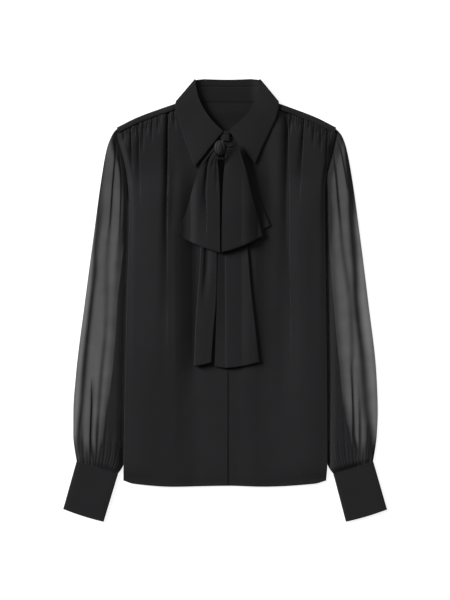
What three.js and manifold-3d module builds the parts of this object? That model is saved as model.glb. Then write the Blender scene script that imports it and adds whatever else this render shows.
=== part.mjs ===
// A blouse with a pointed collar, a tied bow and sheer gathered sleeves, laid flat on a table.
// Millimetres. The table is z = 0, +Y runs from the hem to the collar, and the front faces +Z.
// The origin is on the table under the middle of the garment. Right is the wearer's right, at -X.

import * as THREE from 'three';
import Module from 'manifold-3d';

const wasm = await Module();
wasm.setup();

// Cloth and the gaps between layers
const CLOTH = 1.2;
const STIFF_CLOTH = 1.6;
const SHEER = 1.0;
const LAP = 0.4;
const SEAM = 0.3;

// Driving heights
const SLEEVE_EDGE_HEIGHT = 2.4;
const SLEEVE_PUFF = 2.9;
const SLEEVE_TUCK = 12;
const BODY_LIFT = SLEEVE_EDGE_HEIGHT + LAP;
const LIFT_RAMP = 26;
const FRONT_PUFF = 1.3;
const YOKE_HEIGHT = 5.0;
const COLLAR_LIFT = STIFF_CLOTH + LAP;

// Driving lengths
const BACK_YOKE_Y = 241;
const UNDERARM_Y = 171.5;
const SLEEVE_EXIT_Y = -283;
const YOKE_STRIP = 9.6;
const NECK_SEAM_Y = 336;
const CENTRE_EDGE_X = 4.2;
const UNDERLAP_X = -17;
const CUFF_TOP_Y = -275;
const SLEEVE_HEAD_Y = 292.6;
const SLEEVE_CUFF_SLANT = -20.8;
const SLEEVE_CLEARANCE = 0.7;
const SHOULDER_END_Y = 294;
const SIDE_FOOT_Y = -307;

// How the body comes down from the sleeves and the collar, and where its middle lies
const BODY_MIDDLE_X = 4;
const UNDERARM_RAMP = 45;
const CUFF_RAMP = 24;
const COLLAR_RISE = { startY: 298, endY: 322, innerHalf: 92, outerHalf: 125 };

// How the front swells: the ridge at the gathers, the longer one below it, and where each fades
const RIDGE = { height: 1.9, fade: 46 };
const LONG_RIDGE = { height: 0.5, fade: 240 };
const HEM_FLATTENING = { share: 0.6, reach: 24 };
const PUFF_REACH = 16;
const GATHER_SIDE_REACH = 9;
const NECK_FADE = { from: 48, to: 92 };
const OVERLAP_RAMP = { from: 14, to: 2 };

// The yoke's shoulder rolls
const YOKE_BACK_INSET = 3.2;
const ROLL_LAP = 10;
const ROLL_RIGHT = { from: -184.2, to: -53 };
const ROLL_LEFT = { from: 60.4, to: 188.8 };

// How much a sleeve swells above its cuff, and the half width of a gather there
const CUFF_RIDGE = 1.5;
const CUFF_GATHER_HALF = 0.024;

// Both side edges of the body: the armhole seam, then the side seam down to the hem
const SIDES = [
  { y: 294, right: -184.6, left: 189.2 },
  { y: 283, right: -183.8, left: 188.4 },
  { y: 267, right: -180.2, left: 185.4 },
  { y: 241, right: -172.6, left: 179.2 },
  { y: 216.5, right: -167.6, left: 173.2 },
  { y: 186, right: -164.2, left: 170.4 },
  { y: 160, right: -163.2, left: 169.8 },
  { y: 119, right: -163.4, left: 170.4 },
  { y: 0, right: -166.8, left: 171.8 },
  { y: -136, right: -169.7, left: 173.6 },
  { y: -270, right: -172.4, left: 174.1 },
  { y: -307, right: -173.0, left: 171.8 },
];

// The hem dips in the middle of each front and rises a little at the centre edge
const HEM = [
  { x: -173, y: -307 },
  { x: -156, y: -312.6 },
  { x: -87, y: -317.6 },
  { x: 4, y: -316 },
  { x: 67, y: -317.6 },
  { x: 152, y: -312.6 },
  { x: 172, y: -307 },
];

// Top edge of each shoulder, from the sleeve to the neck
const SHOULDER_RIGHT = [
  { x: -184.6, y: 293 },
  { x: -151.3, y: 309.6 },
  { x: -125.1, y: 319.8 },
  { x: -85.2, y: 333.4 },
  { x: -52, y: 345.2 },
];
const SHOULDER_LEFT = [
  { x: 59.4, y: 345.6 },
  { x: 91, y: 334 },
  { x: 131.4, y: 319.8 },
  { x: 156.7, y: 309.6 },
  { x: 189.2, y: 293 },
];

// Neck edges of the fronts, hidden under the collar
const NECKLINE_RIGHT = [
  { x: -50, y: 333 },
  { x: -38, y: 312 },
  { x: -22, y: 294 },
  { x: -8, y: 283 },
  { x: CENTRE_EDGE_X, y: 278.5 },
];
const NECKLINE_LEFT = [
  { x: UNDERLAP_X, y: 278.5 },
  { x: 2, y: 279.5 },
  { x: 12, y: 285 },
  { x: 31, y: 300 },
  { x: 45.5, y: 313 },
  { x: 57, y: 333 },
];

// Gathers under the yoke: where each trough starts at the seam, how far down it reaches,
// its half width, its depth and how far it leans by its lower end
const GATHERS_RIGHT = [
  { x: -171, reach: 26, width: 2.4, depth: 1.3, lean: 2 },
  { x: -159.3, reach: 38, width: 3.0, depth: 1.8, lean: 1 },
  { x: -145.5, reach: 84, width: 3.4, depth: 1.6, lean: 1 },
  { x: -138.5, reach: 32, width: 2.4, depth: 1.5, lean: 0 },
  { x: -130.7, reach: 44, width: 2.6, depth: 1.7, lean: -1 },
  { x: -123.1, reach: 30, width: 2.4, depth: 1.5, lean: 0 },
  { x: -114.6, reach: 46, width: 2.6, depth: 1.6, lean: 1 },
  { x: -105.5, reach: 240, width: 4.0, depth: 1.8, lean: 6 },
  { x: -92.8, reach: 52, width: 3.0, depth: 1.6, lean: 1 },
];
const GATHERS_LEFT = [
  { x: 100.5, reach: 250, width: 4.6, depth: 1.8, lean: 3 },
  { x: 111.2, reach: 36, width: 2.6, depth: 1.4, lean: -1 },
  { x: 118.8, reach: 44, width: 2.6, depth: 1.6, lean: 0 },
  { x: 128.2, reach: 40, width: 2.6, depth: 1.6, lean: 0 },
  { x: 139.2, reach: 110, width: 3.4, depth: 1.8, lean: -8 },
  { x: 149.8, reach: 34, width: 2.4, depth: 1.5, lean: -1 },
  { x: 157, reach: 30, width: 2.4, depth: 1.4, lean: -1 },
  { x: 165.2, reach: 40, width: 2.6, depth: 1.7, lean: -2 },
  { x: 174.5, reach: 28, width: 2.4, depth: 1.4, lean: -2 },
];

// Sleeves down their length: the outer fold and the inner fold, which is tucked under the body
const SLEEVE_OUTER = [
  { y: 292.6, right: -185.6, left: 190.2 },
  { y: 288, right: -191.0, left: 195.4 },
  { y: 279, right: -196.6, left: 202.2 },
  { y: 258, right: -204.3, left: 209.5 },
  { y: 207, right: -213.0, left: 218.6 },
  { y: 115, right: -224.7, left: 230.5 },
  { y: 0, right: -239.2, left: 244.2 },
  { y: -129, right: -254.5, left: 258.1 },
  { y: -190, right: -258.6, left: 260.1 },
  { y: -231, right: -258.7, left: 258.3 },
  { y: -252, right: -256.6, left: 255.8 },
  { y: -275, right: -252.6, left: 251.8 },
];
const SLEEVE_INNER = [
  { y: 171.5, right: -163.9, left: 170.7 },
  { y: 160, right: -163.7, left: 170.3 },
  { y: 140, right: -160.0, left: 166.6 },
  { y: 110, right: -155.0, left: 162.0 },
  { y: 60, right: -152.5, left: 159.5 },
  { y: -60, right: -154.5, left: 160.5 },
  { y: -190, right: -160.0, left: 163.0 },
  { y: -255, right: -166.5, left: 168.5 },
  { y: -283, right: -174.0, left: 175.5 },
  { y: -296, right: -182.6, left: 184.4 },
];

// Gathers that fan up from each cuff: place across the sleeve from its outer fold, reach up the
// sleeve as a share of its length, and depth
const CUFF_GATHERS = [
  { across: 0.07, reach: 0.10, depth: 1.0 },
  { across: 0.15, reach: 0.22, depth: 1.4 },
  { across: 0.24, reach: 0.12, depth: 1.1 },
  { across: 0.33, reach: 0.16, depth: 1.3 },
  { across: 0.42, reach: 0.30, depth: 1.5 },
  { across: 0.51, reach: 0.14, depth: 1.2 },
  { across: 0.60, reach: 0.20, depth: 1.4 },
  { across: 0.69, reach: 0.11, depth: 1.1 },
  { across: 0.78, reach: 0.17, depth: 1.3 },
  { across: 0.87, reach: 0.12, depth: 1.2 },
  { across: 0.95, reach: 0.09, depth: 0.9 },
];

// Long folds that run down each sleeve from its head
const SLEEVE_FOLDS = [
  { across: 0.10, from: 0.06, to: 0.95, width: 0.045, depth: 1.2 },
  { across: 0.32, from: 0.03, to: 0.34, width: 0.05, depth: 1.0 },
  { across: 0.66, from: 0.05, to: 0.90, width: 0.07, depth: 1.3 },
];

// Corners of the cuffs
const CUFFS = {
  right: {
    topOuter: [-252.6, -275.4],
    topInner: [-182.8, -296.2],
    endInner: [-207.1, -377.0],
    endOuter: [-275.1, -355.6],
  },
  left: {
    topOuter: [251.8, -275.4],
    topInner: [184.6, -296.2],
    endInner: [205.8, -377.0],
    endOuter: [275.1, -356.4],
  },
};
const CUFF_END_BOW = 1.4;
const CUFF_HEIGHT = 4.2;
const CUFF_TOP_GAP = 0.5;
const CUFF_WALL_SHARE = 0.022;
const CUFF_EDGE_DROP = 0.5;
const CUFF_END_DROP = 0.2;

// Collar across its width: the roll line at the neck, the outer edge, and the height of the cloth
// at each. Leaves run from the front edge up to the fold beside the neck, the rest lies behind.
const LEAF_RIGHT = [
  { rollX: -3.6, rollY: 287.0, rollZ: 9.0, outX: -52.4, outY: 226.1, outZ: 7.0 },
  { rollX: -16.7, rollY: 299.2, rollZ: 9.6, outX: -60.9, outY: 249.5, outZ: 6.8 },
  { rollX: -30.8, rollY: 316.2, rollZ: 9.8, outX: -72.1, outY: 280.0, outZ: 6.9 },
  { rollX: -41.0, rollY: 333.7, rollZ: 9.8, outX: -79.2, outY: 306.0, outZ: 8.2 },
  { rollX: -46.1, rollY: 346.5, rollZ: 9.6, outX: -83.6, outY: 323.3, outZ: 9.0 },
  { rollX: -50.0, rollY: 365.0, rollZ: 8.6, outX: -85.2, outY: 332.0, outZ: 9.0 },
];
const LEAF_LEFT = [
  { rollX: 6.0, rollY: 287.4, rollZ: 9.0, outX: 51.0, outY: 231.2, outZ: 7.0 },
  { rollX: 25.0, rollY: 304.3, rollZ: 9.6, outX: 62.8, outY: 260.0, outZ: 6.8 },
  { rollX: 38.9, rollY: 317.9, rollZ: 9.8, outX: 75.3, outY: 285.3, outZ: 6.9 },
  { rollX: 47.4, rollY: 333.7, rollZ: 9.8, outX: 85.4, outY: 307.7, outZ: 8.2 },
  { rollX: 52.5, rollY: 347.6, rollZ: 9.6, outX: 90.0, outY: 323.3, outZ: 9.0 },
  { rollX: 57.6, rollY: 365.0, rollZ: 8.6, outX: 92.2, outY: 332.4, outZ: 9.0 },
];
const COLLAR_FOLD_RIGHT = { rollX: -50.5, rollY: 374.6, outX: -83.2, outY: 336.4 };
const COLLAR_FOLD_LEFT = { rollX: 58.6, rollY: 374.8, outX: 90.4, outY: 336.4 };
const COLLAR_FOLD_BULGE = 2.6;
const LEAF_CROWN = 0.5;
const COLLAR_BEHIND = [
  { rollX: -36, rollY: 374.0, outX: -60, outY: 328.5 },
  { rollX: -16, rollY: 373.2, outX: -28, outY: 326.0 },
  { rollX: 4, rollY: 372.9, outX: 4, outY: 325.6 },
  { rollX: 24, rollY: 373.2, outX: 36, outY: 326.0 },
  { rollX: 44, rollY: 374.0, outX: 68, outY: 328.5 },
];

// The collar stand: the band behind the neck, and its front halves under each leaf
const STAND = [
  { neckX: -46.5, neckY: 336.6, rollX: -47.5, rollY: 365.0, z: 2.0 },
  { neckX: -32.0, neckY: 336.5, rollX: -34.0, rollY: 371.6, z: 2.0 },
  { neckX: 4.0, neckY: 336.3, rollX: 4.0, rollY: 370.6, z: 2.0 },
  { neckX: 40.0, neckY: 336.5, rollX: 42.0, rollY: 371.6, z: 2.0 },
  { neckX: 54.5, neckY: 336.6, rollX: 55.5, rollY: 365.0, z: 2.0 },
];
const STAND_RIGHT = [
  { neckX: -21.0, neckY: 286.0, rollX: -12.5, rollY: 292.0, z: 6.6 },
  { neckX: -36.0, neckY: 303.0, rollX: -28.0, rollY: 309.5, z: 6.6 },
  { neckX: -47.5, neckY: 321.0, rollX: -40.0, rollY: 327.0, z: 6.6 },
  { neckX: -50.2, neckY: 333.0, rollX: -44.2, rollY: 336.0, z: 6.4 },
];
const STAND_LEFT = [
  { neckX: 24.0, neckY: 287.5, rollX: 15.5, rollY: 293.5, z: 6.6 },
  { neckX: 42.5, neckY: 304.0, rollX: 34.5, rollY: 310.5, z: 6.6 },
  { neckX: 54.6, neckY: 322.0, rollX: 46.8, rollY: 328.0, z: 6.6 },
  { neckX: 57.4, neckY: 333.0, rollX: 51.2, rollY: 336.0, z: 6.4 },
];
const STAND_END = { left: -7.3, right: 7.0, top: 287.5, bottom: 270.6, z: 6.5, crown: 0.5 };

// The knot of the bow and the two ends and loops that leave it
const KNOT = { x: -7.8, y: 255.8, z: 15.4, halfX: 11, halfY: 14.4, halfZ: 8.4 };
const KNOT_LOBES = { count: 3, depth: 0.05, turn: 0.5 };
const TAIL_LIFT = 5.0;
const TAIL_TOP_Y = 238;
const TAIL_FOOT_Y = -112;
const REAR_LIFT = 2.8;
const LOOP_DEPTH = 3.6;
const LOOP_CROWN = 2.6;
const LOOP_LEAST_DEPTH = 2.2;
const LOOP_BOTTOM_START = 0.975;
const KNOT_PULL = { reach: 0.3, front: 2.2, back: 0.5 };

// Where the bow lies: level above the collar's points, soft past the edge of the upper front
const BOW_LEVEL_Y = 262;
const BOW_STEP = { from: 16, to: 3, down: 20 };

// Where the loops rise over the tails: out from the middle on each side
const OVER_TAILS = { rightOuter: -72, rightInner: -46, leftInner: 36, leftOuter: 62 };

// Each loop down its length: its outer and inner edge on the front
const LOOP_RIGHT = [
  { outX: -20.1, outY: 256.4, inX: -12.0, inY: 241.6 },
  { outX: -29.5, outY: 244.5, inX: -12.4, inY: 234.0 },
  { outX: -38.6, outY: 232.5, inX: -11.4, inY: 224.0 },
  { outX: -46.3, outY: 213.5, inX: -10.0, inY: 206.0 },
  { outX: -55.4, outY: 187.0, inX: -9.0, inY: 176.0 },
  { outX: -65.3, outY: 151.6, inX: -8.8, inY: 136.0 },
  { outX: -80.2, outY: 110.5, inX: -8.8, inY: 80.4 },
];
const LOOP_LEFT = [
  { outX: 5.2, outY: 262.6, inX: 0.2, inY: 242.6 },
  { outX: 18.5, outY: 266.0, inX: -0.4, inY: 232.0 },
  { outX: 26.0, outY: 248.5, inX: -1.8, inY: 220.0 },
  { outX: 34.2, outY: 222.5, inX: -3.6, inY: 200.0 },
  { outX: 43.4, outY: 184.0, inX: -4.8, inY: 168.0 },
  { outX: 53.7, outY: 145.5, inX: -5.6, inY: 124.0 },
  { outX: 63.6, outY: 107.6, inX: -5.9, inY: 80.4 },
];
const LOOP_BOTTOM_SAG = 3.0;

// Creases of the loops: place across from the outer edge, stretch along, half width, depth
const CREASES_RIGHT = [
  { across: 0.10, from: 0.0, to: 0.62, width: 0.05, depth: 1.8 },
  { across: 0.40, from: 0.0, to: 0.50, width: 0.10, depth: 2.2 },
  { across: 0.55, from: 0.15, to: 0.85, width: 0.09, depth: 2.0 },
  { across: 0.85, from: 0.0, to: 0.45, width: 0.06, depth: 1.4 },
];
const CREASES_LEFT = [
  { across: 0.30, from: 0.0, to: 0.22, width: 0.12, depth: 1.8 },
  { across: 0.72, from: 0.0, to: 0.16, width: 0.08, depth: 1.4 },
  { across: 0.22, from: 0.35, to: 0.95, width: 0.12, depth: 0.8 },
];

// The stretch that shows behind the left loop
const LOOP_LEFT_REAR = [
  { outX: 28.0, outY: 244.5, inX: 15.0, inY: 234.0 },
  { outX: 37.5, outY: 222.0, inX: 20.0, inY: 212.0 },
  { outX: 47.9, outY: 196.9, inX: 27.0, inY: 180.0 },
  { outX: 62.2, outY: 161.5, inX: 36.0, inY: 140.0 },
  { outX: 76.3, outY: 126.8, inX: 44.0, inY: 108.3 },
];

// The two tails down their length
const TAIL_RIGHT = [
  { y: 236, outer: -17.0, inner: -8.6 },
  { y: 180, outer: -27.0, inner: -11.0 },
  { y: 88.9, outer: -41.8, inner: -13.6 },
  { y: 55.6, outer: -42.7, inner: -14.0 },
  { y: 3.1, outer: -46.6, inner: -15.2 },
  { y: -52.5, outer: -50.3, inner: -19.8 },
  { y: -112.9, outer: -52.0, inner: -24.4 },
];
const TAIL_LEFT = [
  { y: 236, outer: 2.0, inner: -8.0 },
  { y: 180, outer: 20.0, inner: -10.2 },
  { y: 94.4, outer: 36.9, inner: -12.4 },
  { y: 24.7, outer: 43.2, inner: -13.4 },
  { y: -44.9, outer: 50.8, inner: -15.2 },
  { y: -112.9, outer: 58.4, inner: -17.2 },
];
const TAIL_RIGHT_END = [
  { x: -52, y: -112.9 },
  { x: -38, y: -110.5 },
  { x: -24, y: -106.8 },
];
const TAIL_LEFT_END = [
  { x: -17.2, y: -112.9 },
  { x: 2.9, y: -115.9 },
  { x: 24.5, y: -113.6 },
  { x: 57.8, y: -106.6 },
];

// Numbers and curves

function mix(a, b, share) {
  return a + (b - a) * share;
}

function ease(low, high, value) {
  const share = Math.min(1, Math.max(0, (value - low) / (high - low)));
  return share * share * (3 - 2 * share);
}

function bump(distance, width) {
  return Math.exp(-((distance / width) ** 2));
}

function steps(count) {
  return Array.from({ length: count + 1 }, (_, i) => i / count);
}

// A smooth function through one column of a table, which never swings past its rows
function through(table, at, value) {
  const rows = [...table].sort((a, b) => a[at] - b[at]);
  const x = rows.map((row) => row[at]);
  const y = rows.map((row) => row[value]);
  const last = x.length - 1;
  const slope = x.slice(1).map((high, i) => (y[i + 1] - y[i]) / (high - x[i]));
  const tangent = x.map((_, i) => {
    if (i === 0) return slope[0];
    if (i === last) return slope[last - 1];
    if (slope[i - 1] * slope[i] <= 0) return 0;
    return (2 * slope[i - 1] * slope[i]) / (slope[i - 1] + slope[i]);
  });
  return (target) => {
    const place = Math.min(x[last], Math.max(x[0], target));
    let i = 0;
    while (i < last - 1 && place > x[i + 1]) i += 1;
    const width = x[i + 1] - x[i];
    const t = (place - x[i]) / width;
    const t2 = t * t;
    const t3 = t2 * t;
    return (2 * t3 - 3 * t2 + 1) * y[i] + (t3 - 2 * t2 + t) * width * tangent[i]
      + (3 * t2 - 2 * t3) * y[i + 1] + (t3 - t2) * width * tangent[i + 1];
  };
}

// A smooth function of the share of the way down a table's rows
function downRows(table, value) {
  const rows = table.map((row, i) => ({ share: i / (table.length - 1), value: row[value] }));
  return through(rows, 'share', 'value');
}

// Closed solids from grids of points

function solid(points, faces) {
  let volume = 0;
  for (let i = 0; i < faces.length; i += 3) {
    const [a, b, c] = [points[faces[i]], points[faces[i + 1]], points[faces[i + 2]]];
    volume += a[0] * (b[1] * c[2] - b[2] * c[1]) + a[1] * (b[2] * c[0] - b[0] * c[2])
      + a[2] * (b[0] * c[1] - b[1] * c[0]);
  }
  const outward = volume > 0 ? faces : [...faces].reverse();
  const geometry = new THREE.BufferGeometry();
  geometry.setAttribute('position', new THREE.Float32BufferAttribute(points.flat(), 3));
  geometry.setIndex(outward);
  geometry.computeVertexNormals();
  return geometry;
}

// A sheet between an upper and a lower grid of the same size, closed round its rim
function sheetBetween(upper, lower) {
  const rows = upper.length;
  const columns = upper[0].length;
  const layer = rows * columns;
  const points = [...upper.flat(), ...lower.flat()];
  const faces = [];
  const quad = (a, b, c, d) => faces.push(a, b, c, a, c, d);
  for (let i = 0; i < rows - 1; i += 1) {
    for (let j = 0; j < columns - 1; j += 1) {
      const a = i * columns + j;
      quad(a, a + columns, a + columns + 1, a + 1);
      quad(layer + a, layer + a + 1, layer + a + columns + 1, layer + a + columns);
    }
  }
  for (let j = 0; j < columns - 1; j += 1) {
    const end = (rows - 1) * columns + j;
    quad(j, j + 1, layer + j + 1, layer + j);
    quad(end + 1, end, layer + end, layer + end + 1);
  }
  for (let i = 0; i < rows - 1; i += 1) {
    const start = i * columns;
    const end = start + columns - 1;
    quad(start + columns, start, layer + start, layer + start + columns);
    quad(end, end + columns, layer + end + columns, layer + end);
  }
  return solid(points, faces);
}

// A sheet of one thickness over a grid of points on its underside
function sheetOn(lower, thickness) {
  const upper = lower.map((row) => row.map(([x, y, z]) => [x, y, z + thickness]));
  return sheetBetween(upper, lower);
}

// A sheet of one thickness round a grid of points in its middle, which may fold back over itself
function sheetAround(middle, thickness) {
  const rows = middle.length;
  const columns = middle[0].length;
  const point = (i, j) => new THREE.Vector3(...middle[i][j]);
  const moved = (side) => middle.map((row, i) => row.map((_, j) => {
    const along = point(Math.min(i + 1, rows - 1), j).sub(point(Math.max(i - 1, 0), j));
    const across = point(i, Math.min(j + 1, columns - 1)).sub(point(i, Math.max(j - 1, 0)));
    const normal = along.cross(across).normalize();
    return point(i, j).addScaledVector(normal, side * thickness / 2).toArray();
  }));
  return sheetBetween(moved(1), moved(-1));
}

// A tube open at both ends, from rings outside and inside its wall
function tubeBetween(outer, inner) {
  const rows = outer.length;
  const around = outer[0].length;
  const layer = rows * around;
  const points = [...outer.flat(), ...inner.flat()];
  const faces = [];
  const quad = (a, b, c, d) => faces.push(a, b, c, a, c, d);
  for (let j = 0; j < around; j += 1) {
    const next = (j + 1) % around;
    for (let i = 0; i < rows - 1; i += 1) {
      const a = i * around + j;
      const b = i * around + next;
      quad(a, a + around, b + around, b);
      quad(layer + a, layer + b, layer + b + around, layer + a + around);
    }
    const end = (rows - 1) * around;
    quad(j, next, layer + next, layer + j);
    quad(end + next, end + j, layer + end + j, layer + end + next);
  }
  return solid(points, faces);
}

function asManifold(geometry) {
  const mesh = new wasm.Mesh({
    numProp: 3,
    vertProperties: new Float32Array(geometry.getAttribute('position').array),
    triVerts: new Uint32Array(geometry.getIndex().array),
  });
  return new wasm.Manifold(mesh);
}

function fromManifold(body) {
  const mesh = body.getMesh();
  const geometry = new THREE.BufferGeometry();
  geometry.setAttribute('position', new THREE.Float32BufferAttribute(mesh.vertProperties, 3));
  geometry.setIndex(Array.from(mesh.triVerts));
  geometry.computeVertexNormals();
  return geometry;
}

// The form of the body

const sideRight = through(SIDES, 'y', 'right');
const sideLeft = through(SIDES, 'y', 'left');
const hemY = through(HEM, 'x', 'y');
const shoulderRightY = through(SHOULDER_RIGHT, 'x', 'y');
const shoulderLeftY = through(SHOULDER_LEFT, 'x', 'y');

// Distance in from the nearer side edge
function fromSide(x, y) {
  return Math.min(x - sideRight(y), sideLeft(y) - x);
}

// The body rises where its sides lie on the sleeves and where its neck lies on the collar
function bodyLift(x, y) {
  const across = 1 - ease(SLEEVE_TUCK + 1, SLEEVE_TUCK + LIFT_RAMP, fromSide(x, y));
  const below = 1 - ease(UNDERARM_Y + 2, UNDERARM_Y + UNDERARM_RAMP, y);
  const above = ease(SLEEVE_EXIT_Y - CUFF_RAMP, SLEEVE_EXIT_Y - 1, y);
  const onSleeve = BODY_LIFT * across * below * above;
  const { startY, endY, innerHalf, outerHalf } = COLLAR_RISE;
  const fromMiddle = Math.abs(x - BODY_MIDDLE_X);
  const onCollar = COLLAR_LIFT * ease(startY, endY, y) * (1 - ease(innerHalf, outerHalf, fromMiddle));
  return Math.max(onSleeve, onCollar);
}

function frontTopY(x) {
  const shoulder = x < 0 ? shoulderRightY : shoulderLeftY;
  const slope = (shoulder(x + 3) - shoulder(x - 3)) / 6;
  return shoulder(x) - (YOKE_STRIP + SEAM) * Math.hypot(1, slope) - SEAM;
}

// How far the gathers and the folds they run into raise the front at a point
function gathered(x, y, gathers) {
  const down = Math.max(0, frontTopY(x) - y);
  const ridge = RIDGE.height * Math.exp(-down / RIDGE.fade)
    + LONG_RIDGE.height * Math.exp(-down / LONG_RIDGE.fade);
  const troughs = gathers.reduce((sum, fold) => {
    const share = down / fold.reach;
    const centre = fold.x + fold.lean * Math.min(1, share);
    const width = fold.width * (1 + 1.2 * Math.min(1, share));
    return sum + fold.depth * bump(x - centre, width) * (1 - ease(0.35, 1, share));
  }, 0);
  return Math.max(0, ridge - troughs * Math.min(1, 0.35 + ridge / RIDGE.height));
}

// Underside of the fronts
function frontFloor(x, y) {
  const hem = 1 - HEM_FLATTENING.share * (1 - ease(0, HEM_FLATTENING.reach, y - hemY(x)));
  const puff = FRONT_PUFF * ease(-1, PUFF_REACH, fromSide(x, y)) * hem;
  const gathers = x < 0 ? GATHERS_RIGHT : GATHERS_LEFT;
  const neck = ease(NECK_FADE.from, NECK_FADE.to, Math.abs(x - BODY_MIDDLE_X));
  const folds = gathered(x, y, gathers) * ease(0, GATHER_SIDE_REACH, fromSide(x, y)) * neck * hem;
  return bodyLift(x, y) + CLOTH + LAP + puff + folds;
}

// The right front lies over the left one at the centre
function overlap(x) {
  const rise = ease(UNDERLAP_X - OVERLAP_RAMP.from, UNDERLAP_X - OVERLAP_RAMP.to, x);
  return (CLOTH + LAP) * rise * (x > CENTRE_EDGE_X ? 0 : 1);
}

// Columns of the right front where it climbs on to the left one
const OVERLAP_STEP = [-33, -27, -21, -17.5];

// Other columns of each front, and the least distance between two columns and from an edge
const PLAIN_COLUMNS = 7;
const LEAST_COLUMN = 1.3;
const LEAST_EDGE_COLUMN = 1.5;

// Columns of a front: close together at its gathers, wider between them
function gatherColumns(gathers, from, to) {
  const places = gathers.flatMap((fold) => [fold.x - fold.width, fold.x, fold.x + fold.width]);
  const plain = steps(PLAIN_COLUMNS).map((share) => mix(from, to, share));
  const all = [...places, ...plain.slice(1, -1)].sort((a, b) => a - b);
  const apart = all.filter((x, i) => i === 0 || x - all[i - 1] > LEAST_COLUMN);
  const inside = apart.filter((x) => Math.min(x - from, to - x) > LEAST_EDGE_COLUMN);
  return [from, ...inside, to];
}

// Rows of each front as shares of the way down, close together at the gathers
const FRONT_ROWS = [
  0, 0.01, 0.024, 0.044, 0.07, 0.1, 0.135, 0.17, 0.21, 0.29, 0.42, 0.6, 0.8, 0.95, 0.963, 1,
];

function frontPanel(gathers, neckline, side, inner, extra, stepColumns) {
  const outer = side(SHOULDER_END_Y);
  const neck = through(neckline, 'x', 'y');
  const neckStart = side === sideRight ? neckline[0].x : neckline.at(-1).x;
  const plain = gatherColumns(gathers, Math.min(outer, inner), Math.max(outer, inner));
  const columns = [...plain, ...stepColumns].sort((a, b) => a - b);
  const topY = (x) => {
    const underYoke = side === sideRight ? x < neckStart : x > neckStart;
    return underYoke ? frontTopY(x) : Math.min(neck(x), frontTopY(x));
  };
  const lower = FRONT_ROWS.map((share) => columns.map((start) => {
    const u = (start - outer) / (inner - outer);
    const top = topY(start);
    const foot = hemY(mix(side(SIDE_FOOT_Y), inner, u));
    const y = mix(top, foot, share);
    const x = mix(side(y), inner, u);
    return [x, y, frontFloor(x, y) + extra(x)];
  }));
  return sheetOn(lower, CLOTH);
}

function backPanel() {
  const rows = [0, 0.03, 0.06, 0.09, 0.12, 0.15, 0.2, 0.3, 0.45, 0.6, 0.75, 0.87, 0.944, 0.96, 1];
  const shares = [0, 0.03, 0.055, 0.08, 0.115, 0.3, 0.5, 0.7, 0.885, 0.92, 0.945, 0.97, 1];
  const lower = rows.map((down) => shares.map((across) => {
    const foot = hemY(mix(sideRight(SIDE_FOOT_Y), sideLeft(SIDE_FOOT_Y), across));
    const y = mix(BACK_YOKE_Y, foot, down);
    const x = mix(sideRight(y), sideLeft(y), across);
    return [x, y, bodyLift(x, y)];
  }));
  return sheetOn(lower, CLOTH);
}

// The yoke: flat behind, rolled over each shoulder to a narrow strip on the front

function yokeBack() {
  const outerRight = SHOULDER_RIGHT[0].x;
  const neckRight = SHOULDER_RIGHT.at(-1).x;
  const neckLeft = SHOULDER_LEFT[0].x;
  const outerLeft = SHOULDER_LEFT.at(-1).x;
  const topY = (x) => {
    if (x < neckRight) return shoulderRightY(x) - YOKE_BACK_INSET;
    if (x > neckLeft) return shoulderLeftY(x) - YOKE_BACK_INSET;
    return NECK_SEAM_Y;
  };
  const beside = 0.1;
  const places = [
    ...steps(7).map((share) => mix(outerRight, neckRight - beside, share)), -47, -25, 4, 33, 54,
    ...steps(7).map((share) => mix(neckLeft + beside, outerLeft, share))];
  const lower = steps(7).map((up) => places.map((start) => {
    const across = (start - outerRight) / (outerLeft - outerRight);
    const y = mix(BACK_YOKE_Y + SEAM, topY(start), up);
    const x = mix(sideRight(y), sideLeft(y), across);
    return [x, y, bodyLift(x, y)];
  }));
  return sheetOn(lower, CLOTH);
}

function shoulderRoll(shoulderY, { from, to }) {
  const outerRadius = YOKE_HEIGHT / 2;
  const innerRadius = outerRadius - CLOTH;
  const arc = (radius, towards) => steps(4).map((share) => {
    const angle = towards * (share - 0.5) * Math.PI;
    return [outerRadius - radius * Math.cos(angle), outerRadius + radius * Math.sin(angle)];
  });
  const section = [[ROLL_LAP, 0], ...arc(outerRadius, 1), [YOKE_STRIP, YOKE_HEIGHT],
    [YOKE_STRIP, YOKE_HEIGHT - CLOTH], ...arc(innerRadius, -1), [ROLL_LAP, CLOTH]];
  const ring = (share) => {
    const x = mix(from, to, share);
    const y = shoulderY(x);
    const reach = 2;
    const tangent = new THREE.Vector2(1, (shoulderY(x + reach) - shoulderY(x - reach)) / (2 * reach));
    tangent.normalize();
    return section.map(([inward, height]) => {
      const px = x + tangent.y * inward;
      const py = y - tangent.x * inward;
      return [px, py, bodyLift(px, py) + height];
    });
  };
  return cappedSweep(steps(7).map(ring));
}

// A solid from a row of outlines, closed by a fan at each end
function cappedSweep(rings) {
  const around = rings[0].length;
  const points = rings.flat();
  const faces = [];
  for (let i = 0; i < rings.length - 1; i += 1) {
    for (let j = 0; j < around; j += 1) {
      const a = i * around + j;
      const b = i * around + ((j + 1) % around);
      faces.push(a, b, b + around, a, b + around, a + around);
    }
  }
  const outline = rings[0].map(([, y, z]) => new THREE.Vector2(y, z));
  const caps = THREE.ShapeUtils.triangulateShape(outline, []);
  const end = (rings.length - 1) * around;
  for (const cap of caps) {
    const [a, b, c] = [...cap].sort((first, second) => first - second);
    faces.push(c, b, a);
    faces.push(end + a, end + b, end + c);
  }
  return solid(points, faces);
}

function yoke() {
  const back = asManifold(yokeBack());
  const right = asManifold(shoulderRoll(shoulderRightY, ROLL_RIGHT));
  const left = asManifold(shoulderRoll(shoulderLeftY, ROLL_LEFT));
  return fromManifold(back.add(right).add(left));
}

// Sleeves

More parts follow.
